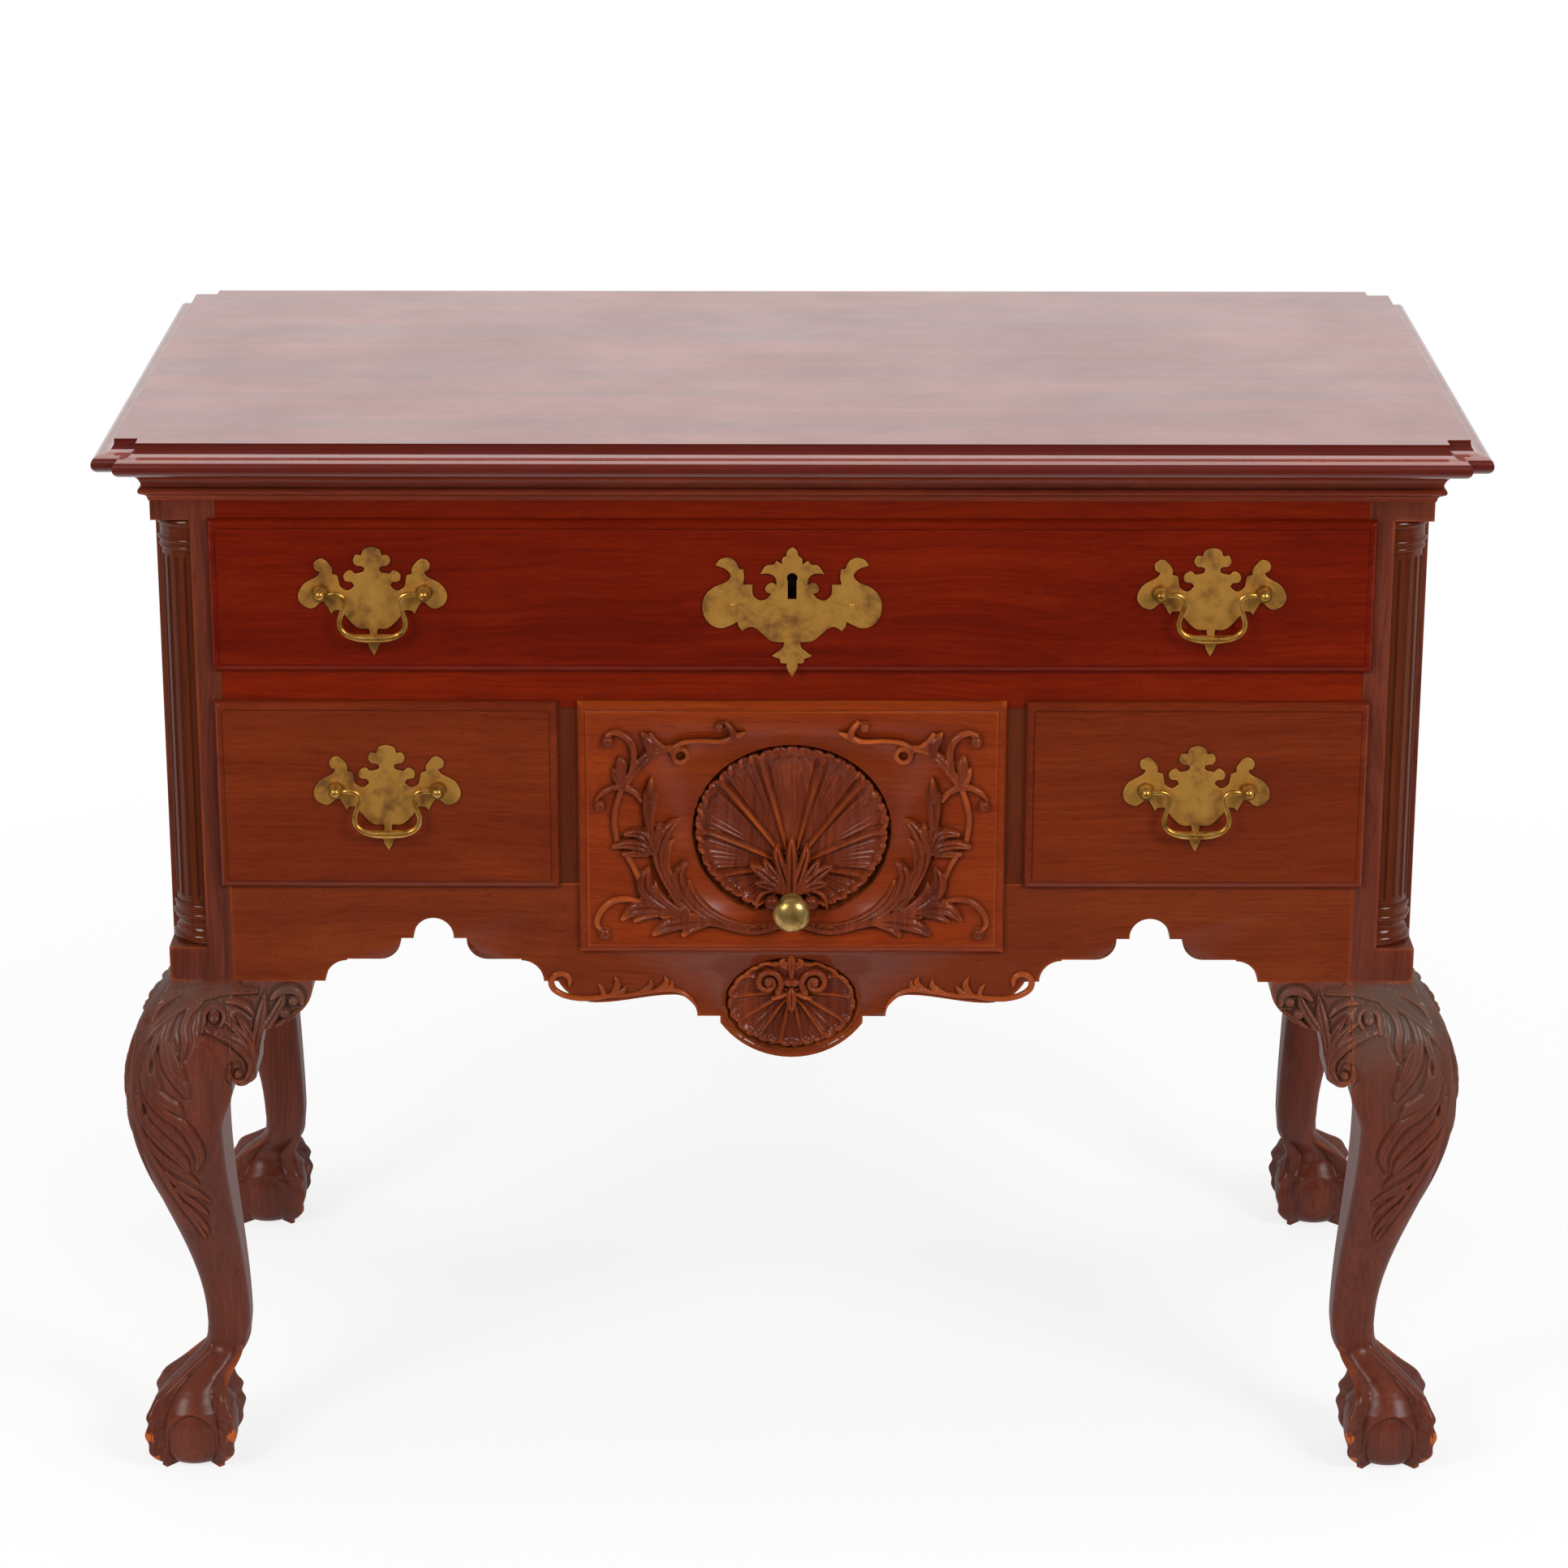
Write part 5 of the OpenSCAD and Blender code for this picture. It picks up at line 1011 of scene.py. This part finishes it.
EDGE_SCROLL = [
    ("stem", 2.6, [(-155.5, 366.5, 1.2), (-155.5, 371, 2), (-159, 374.5, 2.2),
                   (-165, 374, 2.3), (-168.3, 369, 2.3), (-166.5, 363, 2.2), (-159, 358.4, 2.1),
                   (-148.5, 356.2, 2), (-137.5, 356.6, 1.9), (-127, 358.2, 1.7),
                   (-116.5, 358.6, 1.6), (-101.5, 361, 1.6), (-87, 363, 1.7), (-78.3, 361.6, 1.7),
                   (-71.2, 356.6, 1.6), (-66.2, 350, 0.9)]),
    ("leaf", 2.4, [(-131.5, 358.5, 1.6), (-132.5, 363, 1.8), (-135, 367, 0.8)]),
    ("leaf", 3.0, [(-127.5, 358, 1.4), (-123.5, 362.5, 2.4), (-121.8, 367.5, 2.2),
                   (-123.8, 372.5, 0.8)]),
    ("leaf", 2.6, [(-124, 358.5, 1.2), (-119, 361.5, 2), (-115.5, 365.5, 0.8)]),
    ("leaf", 2.8, [(-108, 360, 1.2), (-102.5, 363, 2.1), (-98.5, 366.5, 2), (-98.8, 370, 0.8)]),
    ("leaf", 3.0, [(-97, 361.5, 1.2), (-91, 364.5, 2.2), (-87.6, 368.5, 2.1), (-88.6, 373, 0.8)]),
    ("leaf", 2.4, [(-89, 362.5, 1.2), (-84.5, 365.5, 1.8), (-83.5, 369.5, 0.8)]),
]
edge_scroll = applied_carving(EDGE_SCROLL, APRON_Y, cell=0.5, sunk=0.5)
for piece, word in ((edge_scroll, "left"), (mirrored_copy(edge_scroll), "right")):
    dress(piece, "apron_scroll_" + word, finish_of["apron"])
apron = hollowed("apron", RECESS_MIDDLE, RECESS_HALF_W, RECESS_HALF_H, APRON_Y, 12.8,
                 "case")
print("apron carving", len(volutes.data.polygons) + 2*len(edge_scroll.data.polygons), "faces")

# %% [markdown]
# ## Edges of boards and plates
# The other boards keep their solids and only get their eased edges. The brass plates are
# filed to a bevel all round, and that bevel is what shines in the photograph. The bails
# are round rods, so they get no bevel and are only shaded smooth.

# %% Eased boards and plates
BOARD_EASE, LIP_EASE, PLATE_BEVEL = 0.6*MM, 0.35*MM, 1.1*MM
for node in ("top_rail", "middle_rail", "divider_left", "divider_right", "side_left",
             "side_right"):
    eased(node, BOARD_EASE)
for drawer in ("long_drawer", "left_drawer", "right_drawer"):
    eased(drawer + "_front", LIP_EASE, drawer, angle=50)
for node, body in (("plate_upper_left", "long_drawer"), ("plate_upper_right", "long_drawer"),
                   ("plate_lower_left", "left_drawer"), ("plate_lower_right", "right_drawer"),
                   ("escutcheon", "long_drawer")):
    eased(node, PLATE_BEVEL, body, angle=60)
for side in ("left", "right"):
    for bail in ("bail_upper_" + side, "bail_lower_" + side):
        eased(bail, 0, bail)
print("eased pieces ready")

# %% [markdown]
# ## Shape of a cabriole leg
# A cabriole leg is sawn from a square post along one curve, twice, from two sides that
# meet. Its section is therefore always a rounded square, and two curves say everything:
# how far the outer faces stand out past the corner of the case and how far the inner
# faces lie inside it. Below the ankle the section opens into a foot. A web of skin
# spreads over the ball and ends in an arch between each two toes, and the toes swell at
# their knuckles. All of it is one skin round an axis that leans from the ankle to the
# ball, so one grid can be bent into the whole leg.

# %% Shape of a leg
LEG_H, KNEE_Z, BLOCK_Z, HOLLOW_Z, ANKLE_Z, WEB_Z = 369, 292, 301, 263, 97, 45.8
BALL_R, BALL_Z, TOE_R, TOE_SLIM = 30.5, 28.98, 7, 0.58
ANKLE_AXIS = -28.25
CASE_X, FRONT_Y, BACK_Y, POST_W = 435, -215, 226, 44
KNEE_OUT, BACK_KNEE_OUT, FOOT_INSET, BACK_FOOT_INSET = 33, 22, 3.5, 10
TOES = np.array(smooth_path([
    (89, 0, 0, 0.5), (77, 0.28, 22, 0.66), (65.6, 0.62, 25, 0.8), (57, 0.86, 28.5, 0.98),
    (49.1, 1, 31.4, 0.94), (42.5, 1, 34.6, 1.08), (36.5, 1, 34.9, 0.88), (29, 1, 36.6, 1.06),
    (21, 1, 35.4, 0.86), (14.3, 1, 34, 0.98), (9, 1, 31.6, 0.78), (4.5, 1, 27.2, 0.6),
    (1, 1, 20, 0.5)], 6))[::-1]
WEB = np.array([(10, 29.6), (20, 32), (30, 32.9), (38, 31.8), (44, 29.3), (50, 24.9), (56, 21.2),
                (64, 18), (72, 16.4), (80, 15.6), (90, 15.4), (105, 15.8)])


def ease(t):
    t = np.clip(t, 0, 1)
    return t*t*(3 - 2*t)


def eased_down(z, top, a, low, b):
    return a + (b - a)*ease((top - z)/(top - low))


def rise(z, most):
    return most*(1 - (1 - np.clip((LEG_H - z)/(LEG_H - KNEE_Z), 0, 1))**2.2)


def outer(z, knee, inset):
    shin = eased_down(z, KNEE_Z, knee, ANKLE_Z, -12.5)
    foot = eased_down(z, ANKLE_Z, -12.5, WEB_Z, 21 - inset)
    return np.where(z >= KNEE_Z, rise(z, knee), np.where(z >= ANKLE_Z, shin, foot))


def inner(z, inset):
    under_block = eased_down(z, BLOCK_Z, POST_W, HOLLOW_Z, 35)
    shin = eased_down(z, HOLLOW_Z, 35, ANKLE_Z, 44)
    foot = eased_down(z, ANKLE_Z, 44, WEB_Z, 22 + inset)
    return np.where(z >= HOLLOW_Z, under_block, np.where(z >= ANKLE_Z, shin, foot))


def section(z, knee_y, inset, spans):
    """Points and outward directions round the leg at one height, from the outer corner
    on. X and Y point out of the case, and spans are the columns between two corners."""
    ox, oy, i = outer(z, KNEE_OUT, inset), outer(z, knee_y, inset), -inner(z, inset)
    ro = 0.8 + 18.7*rise(z, 1) if z >= KNEE_Z else eased_down(z, KNEE_Z, 19.5, ANKLE_Z, 11)
    rs, ri = (eased_down(z, BLOCK_Z, 0.1, HOLLOW_Z, r) for r in (8, 9))
    corners = ((ox - ro, oy - ro, ro, 0), (i + rs, oy - rs, rs, 90), (i + ri, i + ri, ri, 180),
               (ox - rs, i + rs, rs, 270))
    places, ways = [], []
    for cx, cy, r, start in corners:
        t = np.radians(np.linspace(start, start + 90, 17))
        way = np.column_stack([np.cos(t), np.sin(t)])
        places.append(np.array([cx, cy]) + r*way)
        ways.append(way)
    places, ways = np.vstack(places + [places[0]]), np.vstack(ways + [ways[0]])
    run = np.concatenate([[0], np.cumsum(np.hypot(*np.diff(places, axis=0).T))])
    marks = [run[8], run[25], run[42], run[59], run[76]]
    at = np.concatenate([np.linspace(a, b, n, endpoint=False)
                         for a, b, n in zip(marks, marks[1:], spans)] + [[marks[-1]]])
    both = [np.column_stack([np.interp(at, run, v[:, k]) for k in (0, 1)]) for v in (places, ways)]
    return both[0], both[1]/np.hypot(*both[1].T)[:, None]


def foot_ring(z, knee_y, inset, spans):
    """Points round the foot at one height, in the same order as those of section."""
    lean = float(ease(np.interp(z, TOES[:, 0], TOES[:, 1])))
    axis = np.full(2, ANKLE_AXIS*(1 - lean) - inset*lean)
    even = np.radians(np.concatenate([np.linspace(45 + 90*k, 135 + 90*k, n, endpoint=False)
                                      for k, n in enumerate(spans)] + [[405]]))
    sawn, _ = section(max(z, 60), knee_y, inset, spans)
    off = sawn - axis
    turn = np.unwrap(np.arctan2(off[:, 1], off[:, 0]))
    away = float(ease((105 - z)/14))
    angle = turn*(1 - away) + even*away
    skin = np.interp(angle, turn, np.hypot(*off.T), period=2*math.pi)
    opened = float(ease((103 - z)/26))
    web = skin*(1 - opened) + np.interp(z, WEB[:, 0], WEB[:, 1])*opened
    squat = 2 if z > BALL_Z else 3.1
    ball = BALL_R*max(0, 1 - (abs(z - BALL_Z)/BALL_R)**squat)**(1/squat)
    between = np.abs((np.degrees(angle) + 45) % 90 - 45)
    seam = 43.5 - 6.5*(between/25)**2 - 26*(between/39)**12
    shown = np.clip((z - seam)/0.5, 0, 1)
    base = ball*(1 - shown) + np.maximum(web, ball)*shown if z < 60 else web
    share, far, thick = (float(np.interp(z, TOES[:, 0], TOES[:, k])) for k in (1, 2, 3))
    far = 11*(1 - share) + far*share
    thick = TOE_R*thick*float(np.clip((z + 0.2)/1.5, 0, 1))
    gap = angle % (math.pi/2) - math.pi/4
    aside = np.clip(far*np.sin(gap)/max(thick*TOE_SLIM, 0.01), -1, 1)
    toe = far*np.cos(gap) + 1.2*thick*np.sqrt(1 - aside**2)
    toe = np.where(np.abs(aside) >= 1, 0, toe)*(z < 88)
    blend = float(np.interp(z, (40, 60, 90), (0.5, 2.6, 4)))
    mix = np.clip(0.5 + 0.5*(toe - base)/blend, 0, 1)
    r = base*(1 - mix) + toe*mix + blend*mix*(1 - mix)
    return axis + r[:, None]*np.column_stack([np.cos(angle), np.sin(angle)])


print("ankle", float(outer(ANKLE_Z, KNEE_OUT, FOOT_INSET) + inner(ANKLE_Z, FOOT_INSET)), "mm")

# %% [markdown]
# ## Carving of the knees
# Acanthus spreads over the knee from the knee block, hangs down both faces beside the
# arris and dies out in small leaves on the shin. Both faces carry the same pattern: the
# strokes are drawn with the distance inwards from the corner of the case, and with the
# height. From 44 mm on they lie on the knee block, which ends in a C scroll.

# %% Strokes of the knee
KNEE = [
    ("leaf", 2.9, [(60, 362.5, 2), (39.5, 363.5, 3.2), (29, 362, 4), (17, 359.5, 4.2),
                   (5.5, 353.5, 4.2), (-5, 346, 3.9), (-14, 338, 3.6), (-21.5, 328.5, 3.2),
                   (-26, 316, 2.9), (-28, 301.5, 2.7), (-26.5, 285, 2.5), (-22.5, 268, 2.5),
                   (-17.5, 251.5, 2.4), (-11, 235, 2.3), (-3.5, 218, 2.1), (4, 201, 1.9),
                   (12.5, 184, 1.5), (16.5, 174, 0.9)]),
    ("leaf", 2.5, [(48, 366.3, 1.4), (32, 367, 2), (18, 365.5, 2.4), (5, 362, 2.8),
                   (-7, 355.5, 3), (-13, 346, 2)]),
    ("leaf", 2.6, [(22, 357, 2.2), (14, 350.5, 3), (10.5, 341, 3.3), (11.5, 331.5, 3.2),
                   (9.5, 321.5, 1.3)]),
    ("leaf", 2.7, [(4, 350.5, 2.7), (-1, 341.5, 3.5), (-3, 331, 4), (-1.5, 319.5, 4.3),
                   (3, 309.5, 4), (9.5, 301.5, 4.4), (12, 294, 1.6)]),
    ("leaf", 2.9, [(1.5, 331, 1.4), (4.5, 320.5, 2.5), (8, 312.5, 2.4), (11, 306, 0.9)]),
    ("leaf", 2.6, [(-6, 340.5, 2.7), (-10, 331, 3), (-12.5, 321, 3.2), (-11.5, 309.5, 3.8),
                   (-7, 300.5, 1.6)]),
    ("leaf", 2.6, [(-12, 329.5, 2.2), (-16.5, 314.5, 2.9), (-12.5, 301.5, 3.6),
                   (-4, 291.5, 4.4), (3.5, 286, 4.2), (8, 280, 1.2)]),
    ("leaf", 2.5, [(-18.5, 309.5, 2.4), (-14, 294, 3), (-4, 281.5, 3.8), (7, 273, 4),
                   (15, 260, 4.1), (18.5, 246.5, 3.4), (15.5, 235.5, 1.2)]),
    ("leaf", 2.4, [(-23, 293.5, 2.1), (-19.5, 276.5, 3.4), (-10.5, 262.5, 4.6), (-1, 251, 5),
                   (6, 241.5, 4), (9.5, 233, 1.2)]),
    ("leaf", 2.3, [(-17, 259, 2.1), (-8.5, 245.5, 3.4), (1, 235.5, 3.8), (9.5, 228, 3),
                   (15.5, 221, 0.9)]),
    ("leaf", 2.2, [(-7, 232, 2.1), (1, 223, 3), (10, 215.5, 3.2), (17.5, 210.5, 2.2),
                   (22.5, 206.5, 0.8)]),
    ("leaf", 2.1, [(0, 218, 1.9), (7.5, 209, 2.8), (15, 201, 2.5), (20, 194, 0.8)]),
    ("leaf", 2.0, [(5, 204, 1.6), (11.5, 193.5, 2.4), (16.5, 184.5, 2), (19.5, 176.5, 0.7)]),
    ("stem", 3.0, [(39.5, 357.5, 1.8), (47.5, 357, 2.5), (54, 353.5, 2.6), (58.5, 348, 1.2)]),
    ("stem", 3.0, [(23, 338.5, 1.4), (24.5, 344.5, 1.9), (25, 350.5, 2.1), (30.5, 354.5, 2.1),
                   (37, 352.5, 2.1), (38.5, 347, 1.8), (36, 342.5, 1.5)]),
    ("ball", 3.8, [(31.5, 348.3, 4.2), (31.5, 347.8, 4.2)]),
    ("leaf", 3.2, [(24, 340, 1.8), (34, 338, 3.2), (44.5, 334, 4.4), (52.5, 327, 4.8),
                   (57.8, 318, 4.4), (57.5, 309, 3.8), (52.5, 303.5, 3), (46.5, 304, 2.6),
                   (42.5, 309.5, 2.2), (44, 315.5, 1.9), (48.5, 316, 1.6)]),
    ("ball", 3.4, [(48.5, 310.5, 2.8), (48.5, 310, 2.8)]),
    ("leaf", 3.2, [(39.5, 345, 1), (46, 341.5, 2.4), (52.5, 334, 2.8), (57.5, 324.5, 1.8)]),
    ("leaf", 3.2, [(47.5, 348, 1), (53, 341, 2.6), (57.5, 332, 2.4), (59.5, 325, 1.4)]),
    ("leaf", 3.4, [(58.5, 322, 1.8), (61.5, 336, 3.6), (64, 347.5, 4.2), (66, 361, 1)]),
    ("leaf", 3.4, [(60, 324, 1.6), (65.5, 336, 3.4), (72, 345.5, 3.9), (77, 354, 3.4),
                   (79, 360.5, 1)]),
    ("leaf", 3.2, [(60.5, 322, 1.8), (68, 331.5, 3), (76, 338, 3.3), (84, 343.5, 2.4),
                   (89, 347, 0.9)]),
    ("stem", 3.4, [(71, 357.5, 2), (76.5, 362, 3.4), (84.5, 363, 3.6), (90.5, 359, 2.8),
                   (91.5, 352.5, 1.9)]),
    ("ball", 4.0, [(79.5, 347, 3.8), (80, 347, 3.8)]),
    ("ball", 3.8, [(85.5, 355, 3.6), (86, 355, 3.6)]),
]
EYES = [("stem", 2.6, [(-11.5, 321.5, 0.7), (-12, 316.5, 1.6), (-12.5, 311.5, 0.7)]),
        ("stem", 2.4, [(-19.5, 288, 0.7), (-18.5, 283, 1.4), (-18, 278.5, 0.7)])]


def knee_relief(inwards, z):
    """How far the carved skin stands out past the sawn one."""
    places = np.column_stack([inwards, z])
    high, outside, _ = carve(places, KNEE)
    pits, _, _ = carve(places, EYES)
    ground = 1.7*np.exp(-(np.clip(outside, 0, None)/2)**2)
    fade = np.clip((LEG_H + 0.2 - z)/2, 0, 1)
    return (1.3*high - ground)*fade - pits


print("strokes of the knee", len(KNEE))

# %% [markdown]
# One grid per leg is bent round these rings, joined along its seam and closed at both
# ends. The corner post above is cut from the leg's own solid, because it is plain joinery
# with crisp edges. The back legs of such tables were left plain, so they get no carving
# and a coarser grid.

# %% Legs
def bent_grid(rings):
    """Solid skin through rings of points, of which the first and last point are one."""
    rings = np.asarray(rings)
    rows, columns = rings.shape[0] - 1, rings.shape[1] - 1
    piece = new_grid(columns, rows)
    at = points_of(piece)[:, :2] + 0.5
    pick = np.rint(at*(columns, rows)).astype(int)
    set_points(piece, rings[pick[:, 1], pick[:, 0]]*MM)
    cleaned(piece, weld=0.004*MM, outwards=False)
    rims_filled(piece, times=2)
    return piece


def leg_rings(knee_y, inset, spans, carved):
    fine = 1.1 if carved else 4
    heights = np.concatenate([np.arange(LEG_H + 0.4, 166, -fine), np.arange(166, 106, -2*fine)])
    rings = []
    for z in heights:
        place, way = section(min(z, LEG_H), knee_y, inset, spans)
        if z > LEG_H:
            place = place - 0.05*way
        if carved:
            out = knee_relief(-place.min(1), np.full(len(place), z))
            facing = np.clip(1.6*way.max(1) - 0.6, 0, 1)
            place = place + way*(out*facing)[:, None]
        rings.append(np.column_stack([place, np.full(len(place), z)]))
    step = 0.75 if carved else 1.3
    low = np.concatenate([np.arange(105, 4.2, -step), [3.4, 2.5, 1.7, 1.1, 0.6, 0.25, 0]])
    for z in low:
        place = foot_ring(z, knee_y, inset, spans)
        rings.append(np.column_stack([place, np.full(len(place), z)]))
    return np.array(rings)


def post_of(node, name):
    """The plain post over a leg, cut from the leg's own solid."""
    piece = merged_copy(node, name)
    only(piece)
    bpy.ops.object.mode_set(mode="EDIT")
    bpy.ops.mesh.select_all(action="SELECT")
    bpy.ops.mesh.bisect(plane_co=(0, 0, LEG_H*MM), plane_no=(0, 0, 1), use_fill=True,
                        clear_inner=True)
    bpy.ops.object.mode_set(mode="OBJECT")
    cleaned(piece)
    apply_modifier(piece, "BEVEL", width=0.7*MM, segments=2, limit_method="ANGLE",
                   angle_limit=math.radians(40), use_clamp_overlap=True)
    return piece


def joined(pieces):
    only(pieces[0])
    for other in pieces[1:]:
        other.select_set(True)
    bpy.ops.object.join()
    return pieces[0]


def finished_leg(node, side, front):
    if front:
        rings = leg_rings(KNEE_OUT, FOOT_INSET, (85, 45, 45, 85), True)
        y = FRONT_Y - rings[:, :, 1]
    else:
        rings = leg_rings(BACK_KNEE_OUT, BACK_FOOT_INSET, (34, 26, 26, 34), False)
        y = BACK_Y + rings[:, :, 1]
    leg = bent_grid(np.dstack([side*(CASE_X + rings[:, :, 0]), y, rings[:, :, 2]]))
    leg = joined([leg, post_of(node, node + "_post")])
    smooth(leg, 50)
    dress(leg, node + "_carved", finish_of[node])
    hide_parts(node)
    return leg


for node, side, front in (("leg_front_left", -1, True), ("leg_front_right", 1, True),
                          ("leg_back_left", -1, False), ("leg_back_right", 1, False)):
    leg = finished_leg(node, side, front)
    print(leg.name, len(leg.data.polygons), "faces")

# %% [markdown]
# ## Knee blocks
# A knee block is glued into the angle between the leg and the case and carved together
# with the leg, so that the leaves run across the joint. Its lower edge is sawn to a
# scroll. The front of the block is a grid that takes the same relief as the knee, and
# its rim is extruded back to the depth of the block.

# %% Knee blocks
BLOCK_W, BLOCK_DEPTH = 55, 24


def block_drop(s):
    """How far the lower edge lies under the case at this distance from the leg."""
    scroll = 59 + np.sqrt(np.clip(81 - (9 - s)**2, 0, None))
    flank = 55.67 + (31.28 - 55.67)*ease((s - 16)/6)
    end = 5 + 26.28*np.sqrt(np.clip(1 - ((s - 22)/33)**2, 0, None))
    return np.where(s <= 16, scroll, np.where(s <= 22, flank, end))


def knee_block(to_world, carved):
    cells = (110, 120) if carved else (28, 30)
    piece = new_grid(*cells)
    at = points_of(piece)[:, :2] + 0.5
    s = BLOCK_W*at[:, 0]
    z = LEG_H - block_drop(s)*(1 - at[:, 1])
    out = rise(z, KNEE_OUT)*np.clip(1 - 0.97*s/BLOCK_W, 0, 1)**1.2
    if carved:
        edge = np.clip(np.minimum(at[:, 0], 1 - at[:, 0])*50, 0, 1)
        out = out + knee_relief(POST_W + s, z)*np.where(at[:, 0] < 0.5, 1, edge)
    set_points(piece, np.column_stack([s, out, z])*MM)
    only(piece)
    bpy.ops.object.mode_set(mode="EDIT")
    bpy.ops.mesh.select_all(action="DESELECT")
    bpy.ops.mesh.select_non_manifold(extend=False)
    bpy.ops.mesh.extrude_edges_move()
    bpy.ops.object.mode_set(mode="OBJECT")
    co = points_of(piece)
    co[chosen_points(piece), 1] = -BLOCK_DEPTH*MM
    set_points(piece, co)
    only(piece)
    bpy.ops.object.mode_set(mode="EDIT")
    bpy.ops.mesh.edge_face_add()
    bpy.ops.object.mode_set(mode="OBJECT")
    set_points(piece, np.array([to_world(*c) for c in points_of(piece)/MM])*MM)
    cleaned(piece)
    return piece


sets = {"knee_blocks_front": [
    knee_block(lambda s, out, z, k=k: (k*(CASE_X - POST_W - s), FRONT_Y - out, z), True)
    for k in (-1, 1)]}
for word, k in (("left", -1), ("right", 1)):
    sets["knee_blocks_" + word] = [
        knee_block(lambda s, out, z, k=k: (k*(CASE_X + out), FRONT_Y + POST_W + s, z), True),
        knee_block(lambda s, out, z, k=k: (k*(CASE_X + out), BACK_Y - POST_W - s, z), False)]
for node, pieces in sets.items():
    block = joined(pieces)
    smooth(block, 45)
    dress(block, node + "_carved", finish_of[node])
    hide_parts(node)
    print(block.name, len(block.data.polygons), "faces")
